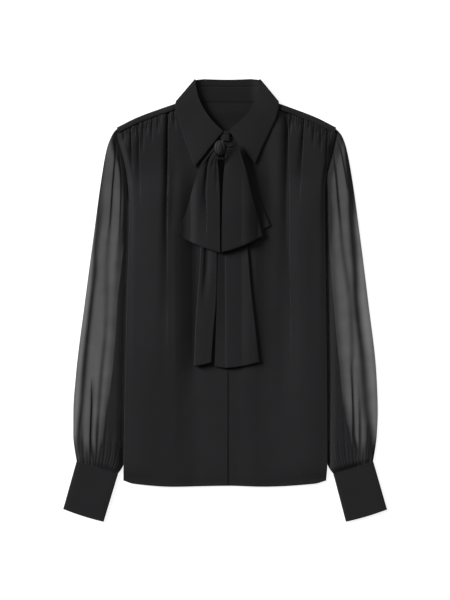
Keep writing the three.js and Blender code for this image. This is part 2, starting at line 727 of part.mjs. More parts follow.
const SLEEVE_ROWS = [0, 0.025, 0.06, 0.11, 0.17, 0.25, 0.35, 0.48, 0.6, 0.7, 0.79, 0.86, 0.92, 0.965, 1];
const SLEEVE_TOP_COLUMNS = 24;
const SLEEVE_UNDER_SHARES = [1, 0.75, 0.5, 0.34, 0.24, 0.16, 0.08, 0];

function sleevePlan(key) {
  const towards = key === 'right' ? -1 : 1;
  const outer = through(SLEEVE_OUTER, 'y', key);
  const inner = through(SLEEVE_INNER, 'y', key);
  const side = key === 'right' ? sideRight : sideLeft;
  const slantTop = UNDERARM_Y - SLEEVE_HEAD_Y;
  return (across, down) => {
    const outerY = mix(SLEEVE_HEAD_Y, CUFF_TOP_Y, down);
    const innerY = outerY + mix(SLEEVE_CUFF_SLANT, slantTop, (1 - down) ** 2.5);
    const x = mix(outer(outerY), inner(innerY), across);
    const y = mix(outerY, innerY, across);
    const mouthY = mix(SLEEVE_HEAD_Y, UNDERARM_Y, across);
    const straightX = mix(outer(SLEEVE_HEAD_Y), inner(UNDERARM_Y), across);
    const mouthX = side(mouthY) + towards * SLEEVE_CLEARANCE;
    return [x + (mouthX - straightX) * (1 - down) ** 2, y];
  };
}

function sleeveHeight(x, y, across, down, key) {
  const side = key === 'right' ? sideRight : sideLeft;
  const outer = through(SLEEVE_OUTER, 'y', key);
  const clear = Math.abs(x) - Math.abs(side(y));
  const inward = Math.abs(outer(y)) - Math.abs(x);
  const puff = SLEEVE_PUFF * ease(0, 16, clear) * ease(-2, 12, inward);
  const cuffRidge = CUFF_RIDGE * ease(0.7, 1, down);
  const cuffTroughs = CUFF_GATHERS.reduce((sum, fold) => {
    const share = (1 - down) / fold.reach;
    const trough = bump(across - fold.across, CUFF_GATHER_HALF);
    return sum + fold.depth * trough * (1 - ease(0.2, 1, share));
  }, 0);
  const longFolds = SLEEVE_FOLDS.reduce((sum, fold) => {
    const middle = (fold.from + fold.to) / 2;
    const half = (fold.to - fold.from) / 2;
    const along = 1 - ease(0.6, 1, Math.abs(down - middle) / half);
    return sum + fold.depth * bump(across - fold.across, fold.width) * along;
  }, 0);
  const form = (puff + cuffRidge - cuffTroughs - longFolds) * ease(0, 8, clear) * ease(0, 6, inward);
  return SLEEVE_EDGE_HEIGHT + Math.max(0, form);
}

function sleeve(key) {
  const plan = sleevePlan(key);
  const upperShares = steps(SLEEVE_TOP_COLUMNS);
  const ring = (down, wall) => {
    const [ax, ay] = plan(0, down);
    const [bx, by] = plan(1, down);
    const inset = wall * 1.2 / Math.hypot(ax - bx, ay - by);
    const at = (across) => plan(mix(inset, 1 - inset, across), down);
    const upper = upperShares.map((across) => {
      const [x, y] = at(across);
      return [x, y, sleeveHeight(x, y, across, down, key) - wall * SHEER];
    });
    const under = SLEEVE_UNDER_SHARES.map((across) => {
      const [x, y] = at(across);
      return [x, y, wall * SHEER];
    });
    return [...upper, ...under];
  };
  const outer = SLEEVE_ROWS.map((down) => ring(down, 0));
  const inner = SLEEVE_ROWS.map((down) => ring(down, 1));
  return tubeBetween(outer, inner);
}

// Cuffs

function cuff(key) {
  const { topOuter, topInner, endInner, endOuter } = CUFFS[key];
  const rows = [0, 0.04, 0.3, 0.6, 0.96, 1];
  const shares = [0, 0.02, 0.06, 0.15, 0.35, 0.5, 0.65, 0.85, 0.94, 0.98, 1];
  const depth = Math.hypot(topOuter[0] - endOuter[0], topOuter[1] - endOuter[1]);
  const ring = (down, wall) => {
    const start = mix(CUFF_TOP_GAP / depth, 1, down);
    const at = (across) => {
      const share = mix(wall * CUFF_WALL_SHARE, 1 - wall * CUFF_WALL_SHARE, across);
      const bow = CUFF_END_BOW * Math.sin(Math.PI * share) * start;
      const x = mix(mix(topOuter[0], topInner[0], share), mix(endOuter[0], endInner[0], share), start);
      const y = mix(mix(topOuter[1], topInner[1], share), mix(endOuter[1], endInner[1], share), start);
      return [x, y - bow];
    };
    const end = ease(0, 0.05, Math.min(down, 1 - down));
    const height = (across) => {
      const edge = ease(0, 0.12, Math.min(across, 1 - across));
      return CUFF_HEIGHT - CUFF_EDGE_DROP * (1 - edge) - CUFF_END_DROP * (1 - end);
    };
    const upper = shares.map((across) => {
      const [x, y] = at(across);
      return [x, y, height(across) - wall * STIFF_CLOTH];
    });
    const under = [...shares].reverse().map((across) => {
      const [x, y] = at(across);
      return [x, y, wall * STIFF_CLOTH];
    });
    return [...upper, ...under];
  };
  return tubeBetween(rows.map((down) => ring(down, 0)), rows.map((down) => ring(down, 1)));
}

// Collar

function collar() {
  const widths = steps(6);
  const half = STIFF_CLOTH / 2;
  const line = ({ rollX, rollY, rollZ, outX, outY, outZ }) => widths.map((share) => [
    mix(rollX, outX, share), mix(rollY, outY, share),
    mix(rollZ, outZ, share) + LEAF_CROWN * Math.sin(Math.PI * share)]);
  const behind = (row) => line({ ...row, rollZ: half, outZ: half })
    .map(([x, y]) => [x, y, half]);
  const fold = (edge, leafEnd, outwards) => {
    const along = new THREE.Vector2(edge.outX - edge.rollX, edge.outY - edge.rollY).normalize();
    const out = [outwards * Math.abs(along.y), Math.abs(along.x)];
    const tops = line({ ...edge, rollZ: leafEnd.rollZ, outZ: leafEnd.outZ });
    return steps(6).map((turn) => tops.map(([x, y, top]) => {
      const angle = (0.5 - turn) * Math.PI;
      const radius = (top - half) / 2;
      const bulge = COLLAR_FOLD_BULGE * Math.cos(angle);
      return [x + out[0] * bulge, y + out[1] * bulge, half + radius + radius * Math.sin(angle)];
    }));
  };
  const rows = [
    ...LEAF_RIGHT.map(line),
    ...fold(COLLAR_FOLD_RIGHT, LEAF_RIGHT.at(-1), -1),
    ...COLLAR_BEHIND.map(behind),
    ...fold(COLLAR_FOLD_LEFT, LEAF_LEFT.at(-1), 1).reverse(),
    ...[...LEAF_LEFT].reverse().map(line),
  ];
  return sheetAround(rows, STIFF_CLOTH);
}

function standBand(table) {
  const lower = table.map(({ neckX, neckY, rollX, rollY, z }) => steps(3).map((share) => [
    mix(neckX, rollX, share), mix(neckY, rollY, share), z]));
  return sheetOn(lower, CLOTH);
}

function standEnd() {
  const { left, right, top, bottom, z, crown } = STAND_END;
  const rows = steps(5).map((down) => steps(4).map((across) => {
    const x = mix(left, right, across);
    const y = mix(top, bottom, down);
    return [x, y, z + crown * (Math.sin(Math.PI * across) - down)];
  }));
  return sheetOn(rows, CLOTH);
}

// The bow

const tailRightOuter = through(TAIL_RIGHT, 'y', 'outer');
const tailRightInner = through(TAIL_RIGHT, 'y', 'inner');
const tailLeftOuter = through(TAIL_LEFT, 'y', 'outer');
const tailLeftInner = through(TAIL_LEFT, 'y', 'inner');

// The bow lies on the fronts and comes down softly past the edge of the upper one
function bowFloor(x, y) {
  const up = ease(UNDERLAP_X - BOW_STEP.from, UNDERLAP_X - BOW_STEP.to, x);
  const down = ease(CENTRE_EDGE_X + 1, BOW_STEP.down, x);
  const step = (CLOTH + LAP) * up * (1 - down);
  return frontFloor(x, Math.min(y, BOW_LEVEL_Y)) + step + CLOTH + LAP;
}

function tail(outer, inner, endTable, form) {
  const end = through(endTable, 'x', 'y');
  const lower = steps(10).map((down) => steps(8).map((across) => {
    const foot = end(mix(outer(TAIL_FOOT_Y), inner(TAIL_FOOT_Y), across));
    const y = mix(TAIL_TOP_Y, foot, down);
    const x = mix(outer(y), inner(y), across);
    const open = ease(0, 0.35, down);
    return [x, y, bowFloor(x, y) + form(across, down) * mix(0.6, 1, open)];
  }));
  return sheetOn(lower, STIFF_CLOTH);
}

// The height of each tail over the body: a soft fold along one edge and the lie of the rest
function tailRightForm(across, down) {
  const edgeFold = 1.3 * bump(across - 0.08, 0.1) * (1 - ease(0.5, 1, down));
  return 0.5 + edgeFold + 1.2 * ease(0.4, 0.9, across) + 0.4 * Math.sin(9 * across);
}

function tailLeftForm(across, down) {
  const ridge = 2.4 * ease(0.94, 0.78, across);
  const roll = 0.7 * bump(across - 0.35, 0.16) * (1 - down);
  return 0.1 + ridge - 1.6 * ease(0.5, 0.0, across) + roll + 0.3 * across;
}

// The lowest height that is clear of the tails, which the loops lie on
function loopFloor(x, y) {
  const { rightOuter, rightInner, leftInner, leftOuter } = OVER_TAILS;
  const overTails = TAIL_LIFT * ease(rightOuter, rightInner, x) * (1 - ease(leftInner, leftOuter, x));
  const overRear = x > 0 ? REAR_LIFT : 0;
  return bowFloor(x, y) + Math.max(overTails, overRear);
}

function creased(across, down, creases) {
  return creases.reduce((sum, crease) => {
    const middle = (crease.from + crease.to) / 2;
    const half = (crease.to - crease.from) / 2 + 0.001;
    const along = 1 - ease(0.55, 1, Math.abs(down - middle) / half);
    return sum + crease.depth * bump(across - crease.across, crease.width) * along;
  }, 0);
}

function loop(table, creases) {
  const edges = ['outX', 'outY', 'inX', 'inY'].map((name) => downRows(table, name));
  const columns = steps(12);
  const plan = (across, down) => {
    const [outX, outY, inX, inY] = edges.map((edge) => edge(down));
    const sag = LOOP_BOTTOM_SAG * Math.sin(Math.PI * across) * down ** 4;
    return [mix(outX, inX, across), mix(outY, inY, across) - sag];
  };
  const knotPull = (down) => (1 - ease(0, KNOT_PULL.reach, down));
  const back = (across, down) => {
    const [x, y] = plan(across, down);
    return [x, y, loopFloor(x, y) + CLOTH / 2 + KNOT_PULL.back * knotPull(down)];
  };
  const front = (across, down) => {
    const [x, y, z] = back(across, down);
    const puff = LOOP_CROWN * Math.sin(Math.PI * mix(0.12, 0.88, across)) * (1 - 0.7 * down);
    const rise = LOOP_DEPTH + puff + KNOT_PULL.front * knotPull(down);
    return [x, y, z + Math.max(LOOP_LEAST_DEPTH, rise - creased(across, down, creases))];
  };
  const reach = LOOP_BOTTOM_START;
  const frontRows = [0, 0.06, 0.13, 0.22, 0.34, 0.48, 0.64, 0.82, reach]
    .map((down) => columns.map((across) => front(across, down)));
  const turn = steps(4).slice(1, -1).map((share) => columns.map((across) => {
    const angle = (0.5 - share) * Math.PI;
    const [x, y, high] = front(across, reach);
    const low = back(across, reach)[2];
    const foot = plan(across, 1);
    const out = Math.cos(angle);
    const z = (high + low) / 2 + (high - low) / 2 * Math.sin(angle);
    return [mix(x, foot[0], out), mix(y, foot[1], out), z];
  }));
  const backRows = [reach, 0.7, 0.4, 0.2, 0.08]
    .map((down) => columns.map((across) => back(across, down)));
  return sheetAround([...frontRows, ...turn, ...backRows], CLOTH);
}

function loopRear() {
  const edges = ['outX', 'outY', 'inX', 'inY'].map((name) => downRows(LOOP_LEFT_REAR, name));
  const lower = steps(9).map((down) => steps(6).map((across) => {
    const [outX, outY, inX, inY] = edges.map((edge) => edge(down));
    const x = mix(outX, inX, across);
    const y = mix(outY, inY, across);
    return [x, y, bowFloor(x, y) + 0.6 * Math.sin(Math.PI * across)];
  }));
  return sheetOn(lower, CLOTH);
}

function knot() {
  const rows = 12;
  const around = 20;
  const points = [[0, 0, 1]];
  const faces = [];
  for (let i = 1; i < rows; i += 1) {
    for (let j = 0; j < around; j += 1) {
      const polar = (i / rows) * Math.PI;
      const turn = (j / around) * 2 * Math.PI;
      const wave = Math.cos(KNOT_LOBES.count * turn + KNOT_LOBES.turn);
      const radius = Math.sin(polar) * (1 + KNOT_LOBES.depth * wave * Math.sin(polar));
      points.push([Math.cos(turn) * radius, Math.sin(turn) * radius, Math.cos(polar)]);
    }
  }
  points.push([0, 0, -1]);
  const at = (i, j) => 1 + (i - 1) * around + (j % around);
  for (let j = 0; j < around; j += 1) {
    faces.push(0, at(1, j), at(1, j + 1));
    faces.push(points.length - 1, at(rows - 1, j + 1), at(rows - 1, j));
    for (let i = 1; i < rows - 1; i += 1) {
      faces.push(at(i, j), at(i + 1, j), at(i + 1, j + 1));
      faces.push(at(i, j), at(i + 1, j + 1), at(i, j + 1));
    }
  }
  const placed = points.map(([x, y, z]) => [
    KNOT.x + KNOT.halfX * x, KNOT.y + KNOT.halfY * y, KNOT.z + KNOT.halfZ * z]);
  return solid(placed, faces);
}

// The garment

const CREPE_COLOUR = 0x262628;
const SHEER_COLOUR = 0x3c3c3f;

const blouse = new THREE.Group();

function add(name, geometry, color = CREPE_COLOUR, roughness = 0.75) {
  const material = new THREE.MeshStandardMaterial({ color, roughness, metalness: 0 });
  const mesh = new THREE.Mesh(geometry, material);
  mesh.name = name;
  blouse.add(mesh);
}

add('back_panel', backPanel());
add('yoke', yoke());
add('front_left', frontPanel(GATHERS_LEFT, NECKLINE_LEFT, sideLeft, UNDERLAP_X, () => 0, []));
add('front_right',
  frontPanel(GATHERS_RIGHT, NECKLINE_RIGHT, sideRight, CENTRE_EDGE_X, overlap, OVERLAP_STEP));
add('sleeve_right', sleeve('right'), SHEER_COLOUR, 0.6);
add('sleeve_left', sleeve('left'), SHEER_COLOUR, 0.6);
add('cuff_right', cuff('right'));
add('cuff_left', cuff('left'));
add('collar', collar());
add('collar_stand', standBand(STAND));
add('stand_right', standBand(STAND_RIGHT));
add('stand_left', standBand(STAND_LEFT));
add('stand_end', standEnd());
add('bow_tail_right', tail(tailRightOuter, tailRightInner, TAIL_RIGHT_END, tailRightForm));
add('bow_tail_left', tail(tailLeftOuter, tailLeftInner, TAIL_LEFT_END, tailLeftForm));
add('bow_loop_left_rear', loopRear());
add('bow_loop_right', loop(LOOP_RIGHT, CREASES_RIGHT));
add('bow_loop_left', loop(LOOP_LEFT, CREASES_LEFT));
add('bow_knot', knot());

export default blouse;
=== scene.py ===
# %% [markdown]
# A blouse laid flat
# This file dresses the plain solids of a blouse in cloth. The blouse lies on its back on a pale
# table: fine black crepe for the body, collar, cuffs and bow, and sheer chiffon for the sleeves.
# Each piece of cloth is a grid of points worked out by numpy from the garment's own sizes. A grid
# suits cloth, because its rows and columns run like the weave and a fold is only a change of height.
# %% Load the fixed frame
import math

import bpy
import numpy as np
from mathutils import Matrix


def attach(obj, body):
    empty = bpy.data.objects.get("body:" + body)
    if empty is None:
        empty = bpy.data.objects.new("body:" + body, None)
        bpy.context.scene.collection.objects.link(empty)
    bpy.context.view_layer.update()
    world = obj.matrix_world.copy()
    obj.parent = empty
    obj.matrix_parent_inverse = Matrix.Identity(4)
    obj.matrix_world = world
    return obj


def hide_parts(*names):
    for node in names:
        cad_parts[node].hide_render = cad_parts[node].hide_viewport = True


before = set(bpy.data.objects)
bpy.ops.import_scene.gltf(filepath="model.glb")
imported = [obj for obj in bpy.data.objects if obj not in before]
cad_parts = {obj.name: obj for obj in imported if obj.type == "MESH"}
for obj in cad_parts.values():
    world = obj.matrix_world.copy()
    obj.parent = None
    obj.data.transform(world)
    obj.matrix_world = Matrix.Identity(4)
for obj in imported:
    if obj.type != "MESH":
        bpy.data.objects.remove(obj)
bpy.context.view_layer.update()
MM = 0.001
rng = np.random.default_rng(7)
print("solids:", len(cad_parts))

# %% [markdown]
# Curves through a few measured points
# A pattern maker marks a few points and draws a smooth line through them. `table` names the columns
# of a short list of such points, and `through` gives the smooth line. It never swings past its
# points, which a plain spline would do at a sharp shoulder or underarm.
# %% Tables and curves


def table(columns, rows):
    names = columns.split()
    return {name: np.array([row[i] for row in rows], float) for i, name in enumerate(names)}


def through(rows, at, value):
    order = np.argsort(rows[at])
    x = rows[at][order]
    y = rows[value][order]
    slope = np.diff(y) / np.diff(x)
    tangent = np.concatenate([slope[:1], np.zeros(len(x) - 2), slope[-1:]])
    same = slope[:-1] * slope[1:] > 0
    total = np.where(same, slope[:-1] + slope[1:], 1)
    tangent[1:-1] = np.where(same, 2 * slope[:-1] * slope[1:] / total, 0)

    def curve(target):
        place = np.clip(target, x[0], x[-1])
        i = np.clip(np.searchsorted(x, place, side="right") - 1, 0, len(x) - 2)
        width = x[i + 1] - x[i]
        t = (place - x[i]) / width
        start = (2 * t**3 - 3 * t**2 + 1) * y[i] + (t**3 - 2 * t**2 + t) * width * tangent[i]
        end = (3 * t**2 - 2 * t**3) * y[i + 1] + (t**3 - t**2) * width * tangent[i + 1]
        return start + end

    return curve


def down_rows(rows, value):
    share = np.linspace(0, 1, len(rows[value]))
    return through({"share": share, value: rows[value]}, "share", value)


example = table("along height", [(0, 0), (1, 4), (2, 5)])
print("height of an example halfway along:", float(through(example, "along", "height")(0.5)))

# %% [markdown]
# Soft changes along the cloth
# Cloth has few sudden changes, so a height or a width is faded in and out. `mix` goes from one value
# to another by a share, `ease` is a share that starts and ends gently, and `bump` is one round rise.
# %% Soft changes


def mix(a, b, share):
    return a + (b - a) * share


def ease(low, high, value):
    share = np.clip((value - low) / (high - low), 0, 1)
    return share * share * (3 - 2 * share)


def bump(distance, width):
    return np.exp(-((distance / width) ** 2))


print("share at a quarter of the way:", float(ease(0, 1, 0.25)))

# %% [markdown]
# Sizes of the garment
# These are the sizes of the plain solids, in millimetres, so that every piece of cloth lies exactly
# where its solid lies. X runs to the wearer's left, Y from the hem to the collar, Z up from the table.
# Numbers typed again in each function would drift apart, so they stand here once.
# %% Driving sizes
# Thickness of the solids, and the air between two layers and at a seam
CLOTH = 1.2
STIFF_CLOTH = 1.6
LAP = 0.4
SEAM = 0.3
# Thickness of the finer sheets that this file makes
FINE_CLOTH = 0.5
BOW_CLOTH = 0.8
FIRM_CLOTH = 1.0
# Height of a sleeve at its edge, its puff, how far it reaches under the body, and how the body rises
SLEEVE_EDGE_HEIGHT = 2.4
SLEEVE_PUFF = 2.9
SLEEVE_TUCK = 12
BODY_LIFT = SLEEVE_EDGE_HEIGHT + LAP
LIFT_RAMP = 26
FRONT_PUFF = 1.3
COLLAR_LIFT = STIFF_CLOTH + LAP
YOKE_HEIGHT = 5.0
YOKE_STRIP = 9.6
# Places of seams and edges, from the collar down
NECK_SEAM_Y = 336
SHOULDER_TIP_Y = 294
HEAD_Y = 292.6
BACK_YOKE_Y = 241
UNDERARM_Y = 171.5
CUFF_TOP_Y = -275
SLEEVE_EXIT_Y = -283
SIDE_FOOT_Y = -307
# Middle line of the body, front edges of the right and left front, and tips of the shoulders
CENTRE_X = 4
CENTRE_EDGE_X = 4.2
UNDERLAP_X = -17
TIP_RIGHT_X = -184.6
TIP_LEFT_X = 189.2
print("solid cloth:", CLOTH, "mm, sheet of cloth:", FINE_CLOTH, "mm")

# %% [markdown]
# The outline of the body
# A pattern maker draws half a body and mirrors it. A worn blouse laid down is never that even, so the
# two sides, shoulders and neck edges here each have points of their own.
# %% Outline of the body
SIDES = table("y right left", [
    (SHOULDER_TIP_Y, TIP_RIGHT_X, TIP_LEFT_X), (283, -183.8, 188.4), (267, -180.2, 185.4),
    (241, -172.6, 179.2), (216.5, -167.6, 173.2), (186, -164.2, 170.4), (160, -163.2, 169.8),
    (119, -163.4, 170.4), (0, -166.8, 171.8), (-136, -169.7, 173.6), (-270, -172.4, 174.1),
    (SIDE_FOOT_Y, -173.0, 171.8)])
HEM = table("x y", [
    (-173, SIDE_FOOT_Y), (-156, -312.6), (-87, -317.6), (CENTRE_X, -316), (67, -317.6), (152, -312.6),
    (172, SIDE_FOOT_Y)])
SHOULDER_RIGHT = table("x y", [
    (TIP_RIGHT_X, 293), (-151.3, 309.6), (-125.1, 319.8), (-85.2, 333.4), (-52, 345.2)])
SHOULDER_LEFT = table("x y", [
    (59.4, 345.6), (91, 334), (131.4, 319.8), (156.7, 309.6), (TIP_LEFT_X, 293)])
NECKLINE_RIGHT = table("x y", [(-50, 333), (-38, 312), (-22, 294), (-8, 283), (CENTRE_EDGE_X, 278.5)])
NECKLINE_LEFT = table("x y", [
    (UNDERLAP_X, 278.5), (2, 279.5), (12, 285), (31, 300), (45.5, 313), (57, 333)])

side_right = through(SIDES, "y", "right")
side_left = through(SIDES, "y", "left")
hem_y = through(HEM, "x", "y")
shoulder_right_y = through(SHOULDER_RIGHT, "x", "y")
shoulder_left_y = through(SHOULDER_LEFT, "x", "y")
hem_width = side_left(SIDE_FOOT_Y) - side_right(SIDE_FOOT_Y)
print("width across the hem:", round(float(hem_width), 1), "mm")

# %% [markdown]
# Where the folds are
# Gathers are listed one row each: a factory gathers cloth with two pulled threads, so no
# two gathers are alike. `x` is where a trough starts at the yoke seam, `reach` how far it runs down
# and `lean` how far it drifts on the way. One deep trough on each front runs far down the body. A
# noise texture would give even ripples, which look printed.
# %% Gathers under the yoke
GATHER_COLUMNS = "x reach width depth lean"
GATHERS_RIGHT = table(GATHER_COLUMNS, [
    (-172, 26, 1.8, 1.0, 2), (-165.5, 18, 1.3, 0.7, 1), (-158.3, 92, 2.6, 1.7, 2),
    (-151.8, 24, 1.5, 0.7, 0), (-145.5, 150, 2.8, 1.5, 2), (-137.5, 60, 1.9, 1.2, 0),
    (-130.7, 30, 1.6, 0.9, -1), (-123.1, 48, 1.8, 1.1, 0), (-113.6, 34, 1.8, 1.0, 2),
    (-93.5, 430, 4.6, 4.3, -6), (-90.5, 26, 1.6, 0.8, 1), (-84, 42, 1.9, 1.0, 2)])
GATHERS_LEFT = table(GATHER_COLUMNS, [
    (111, 450, 7.4, 4.3, 1), (96, 20, 1.5, 0.6, 1), (116.4, 44, 1.8, 1.1, -1),
    (121.5, 22, 1.4, 0.7, 0), (128.2, 26, 1.6, 0.8, 0), (136.2, 150, 2.9, 2.0, -8),
    (143.6, 20, 1.3, 0.7, 0), (152, 46, 1.8, 1.2, -1), (158.4, 24, 1.5, 0.8, -1),
    (164.8, 50, 1.8, 1.2, -2), (171, 20, 1.3, 0.7, -1), (176.2, 86, 2.3, 1.6, -3),
    (181, 22, 1.3, 0.6, -1)])
print("large gathers:", len(GATHERS_RIGHT["x"]) + len(GATHERS_LEFT["x"]))

# %% [markdown]
# Small puckers
# Between two large gathers the cloth still puckers a little, and each pucker has its own length and
# depth. There are too many to place by hand, so they are random numbers from a fixed seed, which
# make the same blouse each time.
# %% Small puckers
PUCKER_SPACING = 5.5


def puckers_between(gathers):
    places = np.sort(gathers["x"])
    rows = []
    for low, high in zip(places[:-1], places[1:]):
        count = max(1, int((high - low) / PUCKER_SPACING))
        for k in range(count):
            x = mix(low, high, (k + 1) / (count + 1)) + rng.uniform(-0.6, 0.6)
            reach = rng.uniform(8, 22)
            width = rng.uniform(1.0, 1.5)
            depth = rng.uniform(0.3, 0.6)
            lean = rng.uniform(-1, 1)
            rows.append((x, reach, width, depth, lean))
    return table(GATHER_COLUMNS, rows)


PUCKERS_RIGHT = puckers_between(GATHERS_RIGHT)
PUCKERS_LEFT = puckers_between(GATHERS_LEFT)
print("small puckers:", len(PUCKERS_RIGHT["x"]) + len(PUCKERS_LEFT["x"]))

# %% [markdown]
# Long folds and the swell of the body
# Below the gathers the cloth hangs on in long soft folds, and it swells up where the most cloth was
# gathered. The folds are rows again, with a place and a height for each end. The swell is one smooth
# line across the body, because it changes slowly.
# %% Long folds and the swell
# Each fold has its place at the top and at the foot, then the heights of its top and foot
BODY_FOLDS = table("x foot_x top foot width depth", [
    (-83, -88, 250, 110, 4, 0.9), (72, 78, 262, 150, 8, 1.0),
    (-100, -104, 60, -170, 12, 0.8), (-62, -68, -60, -285, 13, 0.8), (50, 58, -60, -270, 15, 0.8),
    (98, 100, 10, -200, 12, 0.8), (-36, -38, -140, -312, 14, 0.5), (-136, -130, 60, -150, 13, 0.5),
    (128, 122, 60, -140, 13, 0.5), (152, 148, 180, -170, 9, 0.5)])
# The swell is high beside the deep trough of each front and low under the bow
SWELL = table("x height", [
    (-172, 0), (-150, 1.2), (-124, 3.6), (-108, 5.2), (-96, 6.1), (-86, 6.3), (-78, 5.4), (-70, 3.6),
    (-62, 1.2), (-54, -1.2), (-47, -2.1), (-20, -2.0), (20, -0.9), (44, 2.2), (50, 2.3), (58, 1.3),
    (68, 0.0), (80, -0.6), (96, -0.8), (112, -0.4), (130, 0.6), (150, 0.6), (172, 0)])
swell_height = through(SWELL, "x", "height")
print("deepest fold:", BODY_FOLDS["depth"].max(), "mm, highest swell:", SWELL["height"].max(), "mm")

# %% [markdown]
# The height of the body
# The body is two layers of cloth. Its sides lie on the sleeves, so both layers rise there, and its
# neck lies on the back of the collar. Each height is a function of the place on the table, so that
# every layer can follow the one below it. Layers shaped one by one by hand would cut into each other.
# %% Lift of the body
COLLAR_REACH = (92, 125)
COLLAR_START = (298, 322)


def from_side(x, y):
    """How far a place lies inside the nearer side edge of the body."""
    return np.minimum(x - side_right(y), side_left(y) - x)


def beside_sleeves(y):
    """1 where a sleeve lies under each side of the body, 0 above the underarm and at the hem."""
    below = 1 - ease(UNDERARM_Y + 2, UNDERARM_Y + 45, y)
    above = ease(SLEEVE_EXIT_Y - 24, SLEEVE_EXIT_Y - 1, y)
    return below * above


def off_sleeve(distance, end):
    """0 on the hidden edge of a sleeve, and 1 once the body has come down from it."""
    return ease(SLEEVE_TUCK + 1, end, distance)


def body_lift(x, y):
    on_sleeve = 1 - off_sleeve(from_side(x, y), SLEEVE_TUCK + LIFT_RAMP)
    on_collar = COLLAR_LIFT * ease(*COLLAR_START, y) * (1 - ease(*COLLAR_REACH, np.abs(x - CENTRE_X)))
    return np.maximum(BODY_LIFT * on_sleeve * beside_sleeves(y), on_collar)


print("lift on the sleeves:", BODY_LIFT, "mm, on the collar:", COLLAR_LIFT, "mm")

# %% [markdown]
# The shape of one fold
# A gathered fold leans over, so one side falls softly and the other is steep, with a lip of cloth
# that hangs over the trough. A height alone can't hang over, so each fold gives two numbers: how deep
# it is and how far its lip moves sideways. Bump mapping would shade the fold but throw no shadow.
# %% Fold profile
# How far a lip moves, as a share of the depth, and the width of a fold's crisp side
LIP_REACH = 0.8
CRISP_SIDE = 0.35


def fold_profile(distance, width, crisp):
    """The depth of a trough, with a soft side where `distance` is below zero and a crisp one beyond."""
    return np.where(distance < 0, bump(distance, width * 1.2), bump(distance, crisp))


def fold_lip(distance, width, crisp):
    """Where the cloth beyond the crisp side moves over the trough."""
    start = crisp * 1.8
    return ease(0, start, distance) * (1 - ease(start, start + 3 * width, distance))


def troughs(x, down, gathers):
    """Depth of the troughs at each point, and how far the lip beside each one moves."""
    depths = np.zeros_like(x)
    lips = np.zeros_like(x)
    for start, reach, width, depth, lean in zip(*gathers.values()):
        share = down / reach
        centre = start + lean * np.minimum(1, share)
        spread = width * (1 + 1.3 * np.minimum(1, share))
        along = depth * (1 - ease(0.3, 1, share))
        depths += along * fold_profile(x - centre, spread, CRISP_SIDE)
        lips += along * fold_lip(x - centre, spread, CRISP_SIDE)
    return depths, lips


print("lip of a fold 4 mm deep:", 4 * LIP_REACH, "mm")

# %% [markdown]
# Gathered cloth
# At the yoke seam the cloth is pinched flat. Just below it stands up in a ridge, cut by the troughs,
# and it sinks as it runs down the body. The troughs never cut much below the ridge, because cloth has
# the layer underneath to rest on.
# %% Gathered cloth
# The ridge below the seam: its height at the seam, how much it grows and over what length, and the
# length over which it sinks again. It is fuller from one place to another, away from the middle
RIDGE = {"start": 0.8, "growth": 2.4, "grown": 34, "sinks": 140}
FULLER = {"share": 1.35, "from": 92, "to": 112}
TROUGH_DEPTH = {"start": 1.6, "sinks": 500}
PUCKER_DEPTH = 1.2
PINCH = {"depth": 0.9, "from": 0.5, "to": 3.5}
DEEPEST_CUT = 2.2


def slope_of(curve, x, step):
    return (curve(x + step) - curve(x - step)) / (2 * step)


def front_top_y(x):
    """The seam between the front and the yoke's strip, which runs along the shoulder."""
    shoulder = np.where(x < 0, shoulder_right_y(x), shoulder_left_y(x))
    slope = np.where(x < 0, slope_of(shoulder_right_y, x, 3), slope_of(shoulder_left_y, x, 3))
    return shoulder - (YOKE_STRIP + SEAM) * np.hypot(1, slope) - SEAM


def gathered(x, y, gathers, puckers):
    """Height of the gathered cloth, and how far the lips of its folds move."""
    down = np.maximum(0, front_top_y(x) - y)
    fuller = mix(1, FULLER["share"], ease(FULLER["from"], FULLER["to"], np.abs(x - CENTRE_X)))
    height = RIDGE["start"] + RIDGE["growth"] * ease(0, RIDGE["grown"], down)
    ridge = height * np.exp(-down / RIDGE["sinks"]) * fuller
    large, lips = troughs(x, down, gathers)
    small, _ = troughs(x, down, puckers)
    fade = TROUGH_DEPTH["start"] * np.exp(-down / TROUGH_DEPTH["sinks"])
    cut = np.minimum(large * fade + PUCKER_DEPTH * small, ridge + DEEPEST_CUT)
    pinch = PINCH["depth"] * (1 - ease(PINCH["from"], PINCH["to"], down))
    return ridge - cut - pinch, np.minimum(lips * fade, ridge + DEEPEST_CUT)


print("yoke seam at x 100:", round(float(front_top_y(np.array(100.0))), 1), "mm")

# %% [markdown]
# Swell and long folds
# Worn cloth never lies dead flat. The fronts swell up beside the bow and sink to the hem, and long
# folds run down them. Both are smooth sums of a few curves, which is easier to steer than noise.
# %% Swell and long folds
GENTLE_RAMP_END = 100
# The swell ends below the gathers, between the first two heights, and fades between the next two
SWELL_TOP = (150, 245)
SWELL_FOOT = (-170, -50)
SWELL_AT_HEM = 0.2


def swell(x, y):
    """The swell of the cloth below the gathers, which fades out towards the hem."""
    below_gathers = 1 - ease(*SWELL_TOP, y)
    above_hem = mix(SWELL_AT_HEM, 1, ease(*SWELL_FOOT, y))
    side = from_side(x, y)
    # The body comes down from the sleeves far more gently than its solid does
    extra = off_sleeve(side, SLEEVE_TUCK + LIFT_RAMP) - off_sleeve(side, GENTLE_RAMP_END)
    lift = BODY_LIFT * extra * beside_sleeves(y)
    return lift + swell_height(x) * below_gathers * above_hem * ease(0, 14, side)


def body_folds(x, y):
    total = np.zeros_like(x)
    for start, end, top, foot, width, depth in zip(*BODY_FOLDS.values()):
        share = (top - y) / (top - foot)
        centre = mix(start, end, np.clip(share, 0, 1))
        along = ease(0, 0.3, share) * (1 - ease(0.7, 1, share))
        total += depth * fold_profile(x - centre, width, width * 1.6) * along
    return total


